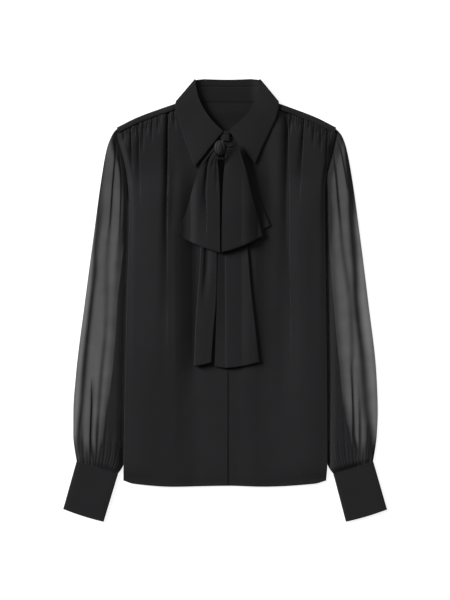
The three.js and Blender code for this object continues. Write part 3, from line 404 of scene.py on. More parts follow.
print("swell at x -86, y 0:", round(float(swell(np.array(-86.0), np.array(0.0))), 2), "mm")

# %% [markdown]
# Where the fronts and the bow lie
# `front_floor` adds up what lifts a front off the table. Without `fine` it leaves out the swell and
# the long folds, as the bow bridges them. `bow_floor` is what the bow lies on: the fronts, the step
# where one laps over the other, and one gap of air so that no layer touches the next.
# %% Where the fronts and the bow lie
# The level of the front stays the same from here up, under the knot
BOW_TOP_Y = 262
OVERLAP_RISE = 0.8
OVERLAP_RAMP = 60
HEM_BAND = 24
HEM_SHARE = 0.4
GATHERS_START = (48, 92)


def flat_at_hem(x, y):
    """1 on the front, and less just above the hem, which the stitching holds flat."""
    return 1 - (1 - HEM_SHARE) * (1 - ease(0, HEM_BAND, y - hem_y(x)))


def front_folds(x, y):
    share = ease(0, 9, from_side(x, y)) * ease(*GATHERS_START, np.abs(x - CENTRE_X)) * flat_at_hem(x, y)
    right, right_lip = gathered(x, y, GATHERS_RIGHT, PUCKERS_RIGHT)
    left, left_lip = gathered(x, y, GATHERS_LEFT, PUCKERS_LEFT)
    return np.where(x < 0, right, left) * share, np.where(x < 0, right_lip, left_lip) * share


def front_floor(x, y, fine=False):
    side = from_side(x, y)
    puff = FRONT_PUFF * ease(-16, 40, side) * flat_at_hem(x, y)
    folds, _ = front_folds(x, y)
    height = body_lift(x, y) + CLOTH + LAP + puff + folds
    return height + swell(x, y) - body_folds(x, y) * ease(2, 20, side) if fine else height


def overlap(x):
    """The right front rises a little as it comes up over the edge of the left one."""
    return OVERLAP_RISE * ease(UNDERLAP_X - OVERLAP_RAMP, UNDERLAP_X - 4, x)


def bow_floor(x, y):
    lapped = ease(UNDERLAP_X - OVERLAP_RAMP, UNDERLAP_X - 3, x) * (1 - ease(CENTRE_EDGE_X + 1, 62, x))
    step = (CLOTH + LAP) * lapped
    return front_floor(x, np.minimum(y, BOW_TOP_Y)) + step + CLOTH + LAP + np.maximum(0, swell(x, y))


middle_height = front_floor(np.array([-80.0]), np.array([0.0]))[0]
print("height of the front in the middle:", round(float(middle_height), 2), "mm")

# %% [markdown]
# From points to a mesh
# Blender's meshes can be drawn face by face, but a grid of points with quads between them is quicker
# to write, and each row and column runs like the threads of the cloth. Edges sharper than the crease
# angle stay crisp, and all others are shaded smooth.
# %% Mesh makers


def mesh_object(name, points, quads, crease_angle=50):
    mesh = bpy.data.meshes.new(name)
    mesh.vertices.add(len(points))
    mesh.vertices.foreach_set("co", (np.asarray(points) * MM).astype(np.float32).ravel())
    count = len(quads)
    mesh.loops.add(count * 4)
    mesh.loops.foreach_set("vertex_index", np.asarray(quads, np.int32).ravel())
    mesh.polygons.add(count)
    mesh.polygons.foreach_set("loop_start", np.arange(0, count * 4, 4, dtype=np.int32))
    mesh.update(calc_edges=True)
    mesh.validate()
    mesh.polygons.foreach_set("use_smooth", np.ones(len(mesh.polygons), bool))
    mesh.set_sharp_from_angle(angle=math.radians(crease_angle))
    obj = bpy.data.objects.new(name, mesh)
    bpy.context.scene.collection.objects.link(obj)
    return obj


def grid_quads(rows, columns, start=0, flip=False):
    i, j = np.meshgrid(np.arange(rows - 1), np.arange(columns - 1), indexing="ij")
    a = (start + i * columns + j).ravel()
    quads = np.stack([a, a + columns, a + columns + 1, a + 1], axis=1)
    return quads[:, ::-1] if flip else quads


def stack(x, y, z):
    return np.stack(np.broadcast_arrays(x, y, z), axis=-1).astype(float)


def steps(*parts):
    """Places along a row, closer together where the cloth bends: low, high and count for each part."""
    runs = [np.linspace(low, high, count, endpoint=False) for low, high, count in parts[:-1]]
    return np.concatenate([*runs, np.linspace(*parts[-1])])


print("a grid of 3 by 3 points has", len(grid_quads(3, 3)), "quads")

# %% [markdown]
# A sheet with a thickness
# `shell` makes a closed sheet of a given thickness round a grid of points in its middle. It moves
# the points both ways along the surface normal and closes the rim. Blender's Solidify modifier does
# the same, but here the grid gives clean normals even where the sheet folds back over itself.
# %% Sheets with a thickness


def grid_normals(points):
    along = np.gradient(points, axis=0)
    across = np.gradient(points, axis=1)
    normal = np.cross(along, across)
    return normal / np.maximum(np.linalg.norm(normal, axis=2, keepdims=True), 1e-9)


def shell(name, middle, thickness):
    normal = grid_normals(middle)
    rows, columns = middle.shape[:2]
    layer = rows * columns
    points = np.concatenate([(middle + normal * thickness / 2).reshape(-1, 3),
                             (middle - normal * thickness / 2).reshape(-1, 3)])
    border = np.concatenate([
        np.arange(columns), np.arange(1, rows) * columns + columns - 1,
        (rows - 1) * columns + np.arange(columns - 2, -1, -1), np.arange(rows - 2, 0, -1) * columns])
    after = np.roll(border, -1)
    rim = np.stack([border, after, after + layer, border + layer], axis=1)
    quads = np.concatenate([grid_quads(rows, columns), grid_quads(rows, columns, layer, True), rim])
    return mesh_object(name, points, quads)


print("thinnest sheet:", FINE_CLOTH, "mm, firmest:", FIRM_CLOTH, "mm")

# %% [markdown]
# What each piece stands for
# A maker lays each piece of cloth over the pattern piece that it was cut from. `dress` does the same
# for each sheet: it gives it its material, ties it to the root, hides the solid that it stands for,
# and prints its triangles and its area of surface. One function keeps these steps alike for all pieces.
# %% What each piece stands for


def area_of(obj):
    return sum(face.area for face in obj.data.polygons)


def dress(obj, node_name, material):
    obj.data.materials.append(material)
    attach(obj, "root")
    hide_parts(node_name)
    triangles = len(obj.data.polygons) * 2
    print(obj.name, triangles, "triangles,", round(area_of(obj), 4), "square metres of surface")


# %% [markdown]
# Short words for shader nodes
# A material in Blender is a tree of nodes joined by links. Writing each one out takes three or four
# lines, so these helpers make a node with its settings, a group with its sockets, and links in pairs.
# %% Node helpers


def new_group(name, inputs, outputs):
    group = bpy.data.node_groups.new(name, "ShaderNodeTree")
    for label, kind, value in inputs:
        socket = group.interface.new_socket(label, in_out="INPUT", socket_type=kind)
        if value is not None:
            socket.default_value = value
    for label, kind in outputs:
        group.interface.new_socket(label, in_out="OUTPUT", socket_type=kind)
    return group, group.nodes.new("NodeGroupInput"), group.nodes.new("NodeGroupOutput")


def node(tree, kind, settings=None, values=None):
    made = tree.nodes.new(kind)
    for key, value in (settings or {}).items():
        setattr(made, key, value)
    for key, value in (values or {}).items():
        made.inputs[key].default_value = value
    return made


def join(tree, *pairs):
    for source, target in pairs:
        tree.links.new(source, target)


print("node groups so far:", len(bpy.data.node_groups))

# %% [markdown]
# Crepe and its shader
# Crepe is woven from hard-twisted yarn, which gives a fine pebbled surface with almost no shine. Its
# yarns are about half a millimetre apart, so the grain is bump and a slight change of colour, never
# geometry. It is a node group, because the outside, the darker copy with painted shade for the back
# and the neck, and the bow each use it.
# %% The crepe grain group
YARNS_PER_METRE = 1900.0


def make_crepe_grain():
    group, given, out = new_group("crepe_grain", [
        ("Position", "NodeSocketVector", None),
        ("Yarns per metre", "NodeSocketFloat", YARNS_PER_METRE),
        ("Dark", "NodeSocketColor", (0.014, 0.014, 0.0155, 1)),
        ("Light", "NodeSocketColor", (0.024, 0.024, 0.026, 1)),
    ], [("Color", "NodeSocketColor"), ("Height", "NodeSocketFloat"), ("Roughness", "NodeSocketFloat")])
    pebble = node(group, "ShaderNodeTexVoronoi", {"feature": "SMOOTH_F1"},
                  {"Smoothness": 0.6, "Randomness": 0.85})
    mottle = node(group, "ShaderNodeTexNoise", None, {"Scale": 42.0, "Detail": 4.0, "Roughness": 0.6})
    slub = node(group, "ShaderNodeTexNoise", None, {"Scale": 700.0, "Detail": 2.0})
    blend = node(group, "ShaderNodeMath", {"operation": "MULTIPLY_ADD"}, {1: 0.55, 2: 0.1})
    grain = node(group, "ShaderNodeMath", {"operation": "MULTIPLY_ADD"}, {1: 0.45})
    colour = node(group, "ShaderNodeMix", {"data_type": "RGBA"})
    height = node(group, "ShaderNodeMath", {"operation": "MULTIPLY_ADD"}, {1: 0.35})
    rough = node(group, "ShaderNodeMath", {"operation": "MULTIPLY_ADD"}, {1: 0.16, 2: 0.66})
    join(group,
         (given.outputs["Position"], pebble.inputs["Vector"]),
         (given.outputs["Yarns per metre"], pebble.inputs["Scale"]),
         (given.outputs["Position"], mottle.inputs["Vector"]),
         (given.outputs["Position"], slub.inputs["Vector"]),
         (mottle.outputs["Fac"], blend.inputs[0]),
         (slub.outputs["Fac"], grain.inputs[0]),
         (blend.outputs[0], grain.inputs[2]),
         (grain.outputs[0], colour.inputs["Factor"]),
         (given.outputs["Dark"], colour.inputs["A"]),
         (given.outputs["Light"], colour.inputs["B"]),
         (slub.outputs["Fac"], height.inputs[0]),
         (pebble.outputs["Distance"], height.inputs[2]),
         (mottle.outputs["Fac"], rough.inputs[0]),
         (colour.outputs["Result"], out.inputs["Color"]),
         (height.outputs[0], out.inputs["Height"]),
         (rough.outputs[0], out.inputs["Roughness"]))
    return group


CREPE_GRAIN = make_crepe_grain()
print("crepe grain:", len(CREPE_GRAIN.nodes), "nodes")

# %% [markdown]
# Three crepes
# The same crepe looks a little different by place. Inside the neck and on the back it lies deep in
# shade, so that copy has darker colours, which are painted shade. The bow's strip is lighter cloth
# with a finer relief. Each has its own two colours in the same grain. The shine is low and a trace of
# sheen stands for the fuzz of the yarn.
# %% Crepe materials


def crepe_material(name, dark, light, bump_distance):
    material = bpy.data.materials.new(name)
    material.use_nodes = True
    tree = material.node_tree
    shader = tree.nodes["Principled BSDF"]
    place = node(tree, "ShaderNodeTexCoord")
    grain = node(tree, "ShaderNodeGroup", {"node_tree": CREPE_GRAIN},
                 {"Yarns per metre": YARNS_PER_METRE, "Dark": (*dark, 1), "Light": (*light, 1)})
    relief = node(tree, "ShaderNodeBump", None, {"Strength": 0.6, "Distance": bump_distance})
    shader.inputs["Specular IOR Level"].default_value = 0.12
    shader.inputs["Sheen Weight"].default_value = 0.03
    shader.inputs["Sheen Roughness"].default_value = 0.5
    join(tree,
         (place.outputs["Object"], grain.inputs["Position"]),
         (grain.outputs["Color"], shader.inputs["Base Color"]),
         (grain.outputs["Roughness"], shader.inputs["Roughness"]),
         (grain.outputs["Height"], relief.inputs["Height"]),
         (relief.outputs["Normal"], shader.inputs["Normal"]))
    return material


GRAIN_RELIEF = 0.12 * MM
BOW_RELIEF = 0.10 * MM
crepe = crepe_material("black_crepe", (0.0126, 0.0126, 0.0138), (0.0208, 0.0208, 0.0224), GRAIN_RELIEF)
# A darker copy of the crepe: its colours are painted shade for the back, the yoke and the stand, which lie
# deep in shade inside the neck.
crepe_painted_shade = crepe_material(
    "black_crepe_painted_shade", (0.0080, 0.0080, 0.0089), (0.0138, 0.0138, 0.0151), GRAIN_RELIEF)
crepe_bow = crepe_material(
    "black_crepe_bow", (0.0120, 0.0120, 0.0132), (0.0204, 0.0204, 0.0220), BOW_RELIEF)
print("crepes:", crepe.name, crepe_painted_shade.name, crepe_bow.name)

# %% [markdown]
# Chiffon and its shader
# Chiffon lets about a third of the light through each layer. What is seen through a sleeve depends
# on how many layers lie there, so the sleeve is modelled with its real layers, and the shader only
# makes one layer partly transparent. Where the cloth is bunched in a fold it is denser: the mesh
# carries a number for that, and the alpha follows it. Beside the body the same number also carries
# painted shade. A glass shader would bend the view.
# %% The chiffon weave group


def make_chiffon_weave():
    group, given, out = new_group("chiffon_weave", [
        ("Position", "NodeSocketVector", None),
        ("Bunch_and_painted_shade", "NodeSocketFloat", 0.0),
        ("Cover", "NodeSocketFloat", 0.5),
    ], [("Alpha", "NodeSocketFloat"), ("Height", "NodeSocketFloat")])
    warp = node(group, "ShaderNodeTexWave", {"bands_direction": "X"}, {"Scale": 420.0, "Distortion": 1.5})
    weft = node(group, "ShaderNodeTexWave", {"bands_direction": "Y"}, {"Scale": 420.0, "Distortion": 1.5})
    cross = node(group, "ShaderNodeMath", {"operation": "ADD"})
    drift = node(group, "ShaderNodeTexNoise", None, {"Scale": 30.0, "Detail": 3.0})
    yarn = node(group, "ShaderNodeMath", {"operation": "MULTIPLY_ADD"}, {1: 0.035})
    cloud = node(group, "ShaderNodeMath", {"operation": "MULTIPLY_ADD"}, {1: 0.10, 2: -0.085})
    denser = node(group, "ShaderNodeMath", {"operation": "MULTIPLY_ADD"}, {1: 0.4})
    total = node(group, "ShaderNodeMath", {"operation": "ADD", "use_clamp": True})
    join(group,
         (given.outputs["Position"], warp.inputs["Vector"]),
         (given.outputs["Position"], weft.inputs["Vector"]),
         (given.outputs["Position"], drift.inputs["Vector"]),
         (warp.outputs["Fac"], cross.inputs[0]),
         (weft.outputs["Fac"], cross.inputs[1]),
         (cross.outputs[0], yarn.inputs[0]),
         (given.outputs["Cover"], yarn.inputs[2]),
         (drift.outputs["Fac"], cloud.inputs[0]),
         (given.outputs["Bunch_and_painted_shade"], denser.inputs[0]),
         (cloud.outputs[0], denser.inputs[2]),
         (yarn.outputs[0], total.inputs[0]),
         (denser.outputs[0], total.inputs[1]),
         (total.outputs[0], out.inputs["Alpha"]),
         (cross.outputs[0], out.inputs["Height"]))
    return group


CHIFFON_WEAVE = make_chiffon_weave()
print("chiffon weave:", len(CHIFFON_WEAVE.nodes), "nodes")

# %% [markdown]
# The chiffon of the sleeves
# The material holds the group, the number of bunching and painted shade from the mesh, and the shader.
# `cover` is how much one flat layer hides. The alpha could come from a picture of the weave, but a group
# costs no file.
# %% Chiffon material
CHIFFON_COVER = 0.70


def chiffon_material(name, cover):
    material = bpy.data.materials.new(name)
    material.use_nodes = True
    tree = material.node_tree
    shader = tree.nodes["Principled BSDF"]
    place = node(tree, "ShaderNodeTexCoord")
    bunch_and_painted_shade = node(tree, "ShaderNodeAttribute", {"attribute_name": "bunch_and_painted_shade"})
    weave = node(tree, "ShaderNodeGroup", {"node_tree": CHIFFON_WEAVE}, {"Cover": cover})
    relief = node(tree, "ShaderNodeBump", None, {"Strength": 0.4, "Distance": 0.05 * MM})
    shader.inputs["Base Color"].default_value = (0.017, 0.017, 0.0185, 1)
    shader.inputs["Roughness"].default_value = 0.6
    shader.inputs["Specular IOR Level"].default_value = 0.12
    shader.inputs["Sheen Weight"].default_value = 0.03
    join(tree,
         (place.outputs["Object"], weave.inputs["Position"]),
         (bunch_and_painted_shade.outputs["Fac"], weave.inputs["Bunch_and_painted_shade"]),
         (weave.outputs["Alpha"], shader.inputs["Alpha"]),
         (weave.outputs["Height"], relief.inputs["Height"]),
         (relief.outputs["Normal"], shader.inputs["Normal"]))
    return material


chiffon = chiffon_material("sheer_chiffon", CHIFFON_COVER)
print("one layer of chiffon covers", CHIFFON_COVER)

# %% [markdown]
# The back
# The back is one plain panel from the yoke to the hem, and it lies flat on the table but for its
# sides, which rest on the sleeves. It is the lowest sheet, so it comes first and the rest is laid on
# it. Its columns are closer together at the sides, where it bends.
# %% Back


def make_back():
    y_share = np.linspace(0, 1, 80)[:, None]
    across = steps((0, 0.15, 30), (0.15, 0.85, 50), (0.85, 1, 30))[None]
    foot = hem_y(mix(side_right(SIDE_FOOT_Y), side_left(SIDE_FOOT_Y), across))
    y = mix(BACK_YOKE_Y, foot, y_share)
    x = mix(side_right(y), side_left(y), across)
    z = body_lift(x, y) + FINE_CLOTH / 2
    return shell("cloth_back", stack(x, y, z), FINE_CLOTH)


back = make_back()
# The back takes the darker crepe, whose colours are painted shade.
dress(back, "back_panel", crepe_painted_shade)

# %% [markdown]
# The fronts
# Two fronts meet at the centre, the right one over the left. On the real blouse each is gathered
# into the yoke. The grid is fine near the yoke, where the gathers are, and coarser toward the hem.
# The side edges drop to the back, because a seam joins them. The hem's stitching is a narrow trough.
# %% Fronts
UNDER_YOKE = 1.3
SEAM_DROP = {"body": 1.35, "armhole": 1.0}
SEAM_WIDTH = 0.6
HEM_STITCH = {"above_hem": 7.0, "width": 1.1, "depth": 0.28}
FRONT_COLUMNS = 340


def make_front(name, side, inner, neckline, over):
    outer = float(side(SHOULDER_TIP_Y))
    neck = through(neckline, "x", "y")
    start = np.linspace(outer, inner, FRONT_COLUMNS)
    towards = -1 if outer < 0 else 1
    neck_start = neckline["x"][0] if towards < 0 else neckline["x"][-1]
    under_yoke = start * towards > neck_start * towards
    seam = front_top_y(start)
    top = np.where(under_yoke, seam + UNDER_YOKE, np.minimum(neck(start), seam))
    across = (start - outer) / (inner - outer)
    foot = hem_y(mix(side(SIDE_FOOT_Y), inner, across))
    down = steps((0, 0.16, 46), (0.16, 0.97, 40), (0.97, 1, 10))[:, None]
    y = mix(top[None], foot[None], down)
    x = mix(side(y), inner, across[None])
    z = front_floor(x, y, fine=True) + CLOTH - FINE_CLOTH / 2
    if over:
        z = z + overlap(x)
    armhole = ease(UNDERARM_Y - 6, UNDERARM_Y + 6, y)
    seam_drop = mix(SEAM_DROP["body"], SEAM_DROP["armhole"], armhole)
    z = z - seam_drop * (1 - ease(0, SEAM_WIDTH, from_side(x, y)))
    z = z - HEM_STITCH["depth"] * bump(y - foot[None] - HEM_STITCH["above_hem"], HEM_STITCH["width"])
    _, lip = front_folds(x, y)
    return shell(name, stack(x - LIP_REACH * lip, y, z), FINE_CLOTH)


front_left = make_front("cloth_front_left", side_left, UNDERLAP_X, NECKLINE_LEFT, False)
dress(front_left, "front_left", crepe)
front_right = make_front("cloth_front_right", side_right, CENTRE_EDGE_X, NECKLINE_RIGHT, True)
dress(front_right, "front_right", crepe)

# %% [markdown]
# The yoke behind
# The yoke is one piece that covers the shoulder blades and rolls over each shoulder to a narrow strip
# on the front. Its flat part lies on the table like the back. Only the small stretch inside the neck
# is ever seen, so that is where it gets a slight ripple.
# %% Yoke behind
ROLL_INSET = 2.6
RIPPLE = 0.12


def make_yoke_back():
    start = np.linspace(TIP_RIGHT_X + 0.2, TIP_LEFT_X - 0.2, 160)
    beside_neck = np.where(start > SHOULDER_LEFT["x"][0], shoulder_left_y(start) - ROLL_INSET, NECK_SEAM_Y)
    top = np.where(start < SHOULDER_RIGHT["x"][-1], shoulder_right_y(start) - ROLL_INSET, beside_neck)
    up = np.linspace(0, 1, 40)[:, None]
    across = (start - TIP_RIGHT_X) / (TIP_LEFT_X - TIP_RIGHT_X)
    y = mix(BACK_YOKE_Y + SEAM, top[None], up)
    x = mix(side_right(y), side_left(y), across[None])
    ripple = RIPPLE * np.sin(x / 17) * np.sin(y / 23 + 1) * ease(300, 320, y)
    z = body_lift(x, y) + FINE_CLOTH / 2 + (CLOTH - FINE_CLOTH) * ease(280, 320, y) + ripple
    return shell("cloth_yoke_back", stack(x, y, z), FINE_CLOTH)


yoke_back = make_yoke_back()
# The yoke behind takes the darker crepe, whose colours are painted shade.
dress(yoke_back, "yoke", crepe_painted_shade)

# %% [markdown]
# The roll over each shoulder
# Cloth that isn't pressed rolls over a shoulder instead of creasing. So the roll is a half circle
# swept along the shoulder line, and the strip runs on from it to the seam with the gathers. A bevel
# on a flat sheet would look alike, but it would not widen and narrow with the slope.
# %% Shoulder rolls
ROLL_SEAM_DROP = 0.35
ROLL_ARCH = 0.25


def make_shoulder_roll(name, shoulder_y, start, end):
    radius = YOKE_HEIGHT / 2 - FINE_CLOTH / 2
    angle = np.linspace(-math.pi / 2, math.pi / 2, 17)
    inward = np.concatenate([np.linspace(7, radius, 4, endpoint=False), radius - radius * np.cos(angle),
                             np.linspace(radius, YOKE_STRIP - 0.15, 12)[1:]])
    height = np.concatenate([np.zeros(4), radius + radius * np.sin(angle), np.full(11, 2 * radius)])
    strip = np.clip((inward - radius) / (YOKE_STRIP - radius), 0, 1) * (height > radius)
    at_seam = (1 - ease(0.0, 0.18, 1 - strip)) * (strip > 0)
    height = height - ROLL_SEAM_DROP * at_seam + ROLL_ARCH * np.sin(math.pi * strip)
    along = np.linspace(start, end, 150)[:, None]
    slope = slope_of(shoulder_y, along, 2)
    length = np.hypot(1, slope)
    x = along + slope / length * inward[None]
    y = shoulder_y(along) - inward[None] / length
    wave = (0.12 * np.sin(along / 4.3) + 0.1 * np.sin(along / 11.0)) * strip[None]
    z = body_lift(x, y) + FINE_CLOTH / 2 + height[None] + wave
    return shell(name, stack(x, y, z), FINE_CLOTH)


roll_right = make_shoulder_roll("cloth_yoke_right", shoulder_right_y, -184.2, -53)
dress(roll_right, "yoke", crepe)
roll_left = make_shoulder_roll("cloth_yoke_left", shoulder_left_y, 60.4, 188.8)
dress(roll_left, "yoke", crepe)

# %% [markdown]
# The sleeves
# A bishop sleeve is far wider than the arm, and laid flat its spare width lies doubled under its
# inner side, which looks darker through the sheer top layer. Its outline is two lines of points, since
# the outer edge swells slowly toward the cuff and then turns in sharply.
# %% Sleeve outline
SLEEVE_OUTER = table("y right left", [
    (292.6, -185.6, 190.2), (288, -191.0, 195.4), (279, -196.6, 202.2), (258, -204.3, 209.5),
    (207, -213.0, 218.6), (115, -224.7, 230.5), (0, -239.2, 244.2), (-129, -254.5, 258.1),
    (-190, -258.6, 260.1), (-231, -258.7, 258.3), (-252, -256.6, 255.8), (-275, -252.6, 251.8)])
SLEEVE_INNER = table("y right left", [
    (171.5, -163.9, 170.7), (160, -163.7, 170.3), (140, -160.0, 166.6), (110, -155.0, 162.0),
    (60, -152.5, 159.5), (-60, -154.5, 160.5), (-190, -160.0, 163.0), (-255, -166.5, 168.5),
    (-283, -174.0, 175.5), (-296, -182.6, 184.4)])
print("a sleeve has", len(SLEEVE_OUTER["y"]), "outer and", len(SLEEVE_INNER["y"]), "inner points")

# %% [markdown]
# Long folds of the sleeves
# Long soft folds run down each sleeve, and in each the cloth is bunched, which shows as a darker band.
# A fold is a row of places down the sleeve, since its width and density change slowly on the way.
# %% Long folds of the sleeves
# `inward` is how far a fold lies from the outer edge, `half` its half width, and `dense` how much more
# cloth lies there, or less where it is below zero
FOLD_COLUMNS = "y inward half dense"
SLEEVE_FOLDS = {
    "right": [
        table(FOLD_COLUMNS, [
            (285, 0.5, 3.0, 0.9), (262, 1.0, 3.4, 0.9), (233, 2.2, 4.8, 0.9), (185, 4.2, 5.0, 0.9),
            (136, 8.0, 4.6, 0.8), (88, 8.8, 4.3, 0.75), (39, 12.6, 4.6, 0.7), (0, 12.9, 4.0, 0.75),
            (-85, 14.1, 4.6, 0.75), (-170, 15.3, 4.3, 0.7), (-226, 10.7, 4.0, 0.7), (-263, 9.0, 4.0, 0.6)]),
        table(FOLD_COLUMNS, [
            (276, 13, 2.2, 0.6), (245, 20.6, 1.9, 0.8), (185, 24.8, 1.9, 0.9), (136, 27.5, 2.0, 0.7),
            (112, 28.0, 3.2, 0.4), (63, 30.6, 5.0, 0.3), (0, 38, 5.0, 0.3), (-85, 44, 3.6, 0.4),
            (-127, 44, 3.6, 0.5), (-170, 44.5, 3.2, 0.45), (-226, 41, 3.0, 0.4), (-255, 40, 3.0, 0.0)]),
        table(FOLD_COLUMNS, [
            (268, 19, 1.5, 0.0), (245, 26.7, 1.5, 0.55), (197, 38, 1.6, 0.7), (136, 43.9, 1.9, 0.5),
            (88, 47.5, 4.0, 0.3), (30, 50, 5.0, 0.1), (0, 52, 5.0, 0.0)]),
        table(FOLD_COLUMNS, [
            (-130, 28, 1.4, 0.0), (-150, 29.6, 1.5, 0.6), (-184, 31.8, 1.6, 0.9), (-226, 30.8, 1.7, 0.9),
            (-268, 30, 1.8, 0.7)]),
        table(FOLD_COLUMNS, [
            (150, 1.0, 1.6, 0.0), (136, 1.6, 1.8, -0.15), (88, 2.5, 2.4, -0.25), (39, 4.0, 3.6, -0.35),
            (0, 4.5, 4.2, -0.35), (-85, 5.0, 4.6, -0.3), (-170, 5.5, 4.6, -0.3), (-226, 3.5, 3.2, -0.2),
            (-250, 3.0, 2.4, 0.0)])],
    "left": [
        table(FOLD_COLUMNS, [
            (285, 0.5, 3.0, 0.9), (262, 2.0, 4.0, 0.9), (233, 4.9, 5.2, 0.9), (185, 7.6, 5.2, 0.9),
            (136, 12.9, 4.9, 0.8), (88, 15.0, 5.6, 0.75), (39, 18.0, 5.2, 0.75), (0, 21.4, 5.0, 0.75),
            (-56, 22.3, 4.9, 0.7), (-113, 22.3, 6.0, 0.65), (-170, 21.3, 6.5, 0.6), (-226, 13.6, 6.5, 0.65),
            (-263, 9.0, 6.0, 0.6)]),
        table(FOLD_COLUMNS, [
            (276, 12, 1.6, 0.5), (245, 13.3, 1.5, 0.7), (204, 12.4, 1.6, 0.6), (180, 12.0, 2.0, 0.0)]),
        table(FOLD_COLUMNS, [
            (262, 22, 1.6, 0.0), (245, 25.8, 1.8, 0.7), (185, 30.3, 2.0, 0.8), (136, 32.3, 2.8, 0.5),
            (88, 34.0, 4.0, 0.35), (0, 31.5, 5.0, 0.35), (-56, 35.7, 4.6, 0.35), (-85, 38.6, 4.4, 0.35),
            (-125, 42.5, 2.6, 0.6), (-170, 42.5, 2.0, 0.9), (-226, 39.6, 2.0, 0.8), (-258, 30, 2.0, 0.6)]),
        table(FOLD_COLUMNS, [
            (160, 1.5, 1.6, 0.0), (136, 3.4, 3.6, -0.2), (88, 5.0, 4.6, -0.3), (39, 7.0, 6.0, -0.35),
            (0, 8.5, 6.6, -0.4), (-56, 9.0, 7.0, -0.4), (-113, 8.0, 6.6, -0.35), (-170, 7.0, 6.0, -0.3),
            (-226, 4.0, 4.0, -0.2), (-255, 3.0, 2.6, 0.0)])]}
print("long folds:", len(SLEEVE_FOLDS["right"]), "on the right,", len(SLEEVE_FOLDS["left"]), "on the left")

# %% [markdown]
# The plan of a sleeve
# The plan turns a place on the sleeve, across and down, into a place on the table. The head of the
# sleeve follows the armhole, where it is set into the body, and the cuff end runs a little way into
# the cuff. A straight rectangle would be simpler, but its rows would not meet those two seams.
# %% Sleeve plan
BODY_SIDES = {"right": side_right, "left": side_left}
TOWARDS = {"right": -1, "left": 1}
CUFF_SLANT = 20.8
INTO_ARMHOLE = 2.2
# How far down the sleeve ends, as a share of its length: past 1 it is inside the cuff
INTO_CUFF = 1.006


def sleeve_plan(key):
    outer = through(SLEEVE_OUTER, "y", key)
    inner = through(SLEEVE_INNER, "y", key)

    def plan(across, down):
        outer_y = mix(HEAD_Y, CUFF_TOP_Y, down)
        inner_y = outer_y + mix(-CUFF_SLANT, UNDERARM_Y - HEAD_Y, np.maximum(0, 1 - down) ** 2.5)
        x = mix(outer(outer_y), inner(inner_y), across)
        y = mix(outer_y, inner_y, across)
        mouth_y = mix(HEAD_Y, UNDERARM_Y, across)
        straight = mix(outer(HEAD_Y), inner(UNDERARM_Y), across)
        mouth_x = BODY_SIDES[key](mouth_y) - TOWARDS[key] * INTO_ARMHOLE
        return x + (mouth_x - straight) * (1 - down) ** 2, y

    return plan


def sleeve_edges(plan, down):
    """The outer and the inner edge of the sleeve, row by row."""
    outer_x, _ = plan(np.zeros_like(down), down)
    inner_x, _ = plan(np.ones_like(down), down)
    return outer_x, inner_x


underarm_x, _ = sleeve_plan("left")(np.array(1.0), np.array(0.0))
print("left sleeve's inner edge at the underarm:", round(float(underarm_x), 1), "mm")

# %% [markdown]
# Gathers above the cuff
# The wide sleeve is gathered into the narrow cuff, so short folds fan out above it. They are rows
# again: the place across the sleeve, how far up the fold reaches, its depth and its width. Each one
# widens as it runs up, because the cloth spreads.
# %% Gathers above the cuff
CUFF_GATHERS = table("across reach depth width", [
    (0.04, 0.08, 0.9, 0.018), (0.12, 0.10, 0.7, 0.015), (0.18, 0.15, 1.2, 0.024), (0.26, 0.07, 0.8, 0.016),
    (0.33, 0.30, 1.5, 0.024), (0.40, 0.08, 0.7, 0.014), (0.45, 0.19, 1.3, 0.022), (0.53, 0.11, 1.1, 0.018),
    (0.60, 0.26, 1.4, 0.024), (0.66, 0.10, 0.9, 0.016), (0.72, 0.16, 1.3, 0.020), (0.77, 0.08, 0.9, 0.015),
    (0.83, 0.14, 1.3, 0.020), (0.88, 0.08, 1.0, 0.016), (0.93, 0.12, 1.2, 0.018), (0.97, 0.07, 0.9, 0.014)])


def cuff_troughs(across, down, towards=1):
    """Depth of the folds above the cuff; `towards` says to which side their crisp sides face."""
    total = np.zeros_like(across)
    for place, reach, depth, width in zip(*CUFF_GATHERS.values()):
        share = (1 - down) / reach
        spread = 0.75 * width * (1 + 0.9 * share)
        along = depth * (1 - ease(0.1, 1, share))
        total += along * fold_profile(towards * (across - place), spread, spread * 0.6)
    return total


print("folds above each cuff:", len(CUFF_GATHERS["across"]))

# %% [markdown]
# Density and height of a sleeve
# A fold does two things to sheer cloth: it puts more cloth in the line of sight, and it lifts or sinks
# the top layer. `fold_density` gives the first for the shader, and `sleeve_height` the second for the
# mesh. Each fold could have its own three layers, but for some twenty folds that makes a heavy mesh
# and the picture stays the same.
# %% Density and height of a sleeve
# The height of the cloth where the sleeve goes in under the body
ARMHOLE_HEIGHT = 0.85
# How far the top layer rises above the cuff, and how deep the folds sink into it
CUFF_RIDGE = 1.5
CUFF_FOLD_DEPTH = 0.35
LONG_FOLD_DEPTH = 1.3


def fold_density(x, y, key):
    """How much more or less cloth than one flat layer lies at each point, from the long folds."""
    outer = through(SLEEVE_OUTER, "y", key)
    inward = np.abs(outer(y)) - np.abs(x)
    total = np.zeros_like(x)
    for fold in SLEEVE_FOLDS[key]:
        place, half, dense = (through(fold, "y", column)(y) for column in ("inward", "half", "dense"))
        reached = ease(fold["y"].min() - 12, fold["y"].min() + 12, y)
        total += dense * bump(inward - place, half) * reached
    return total


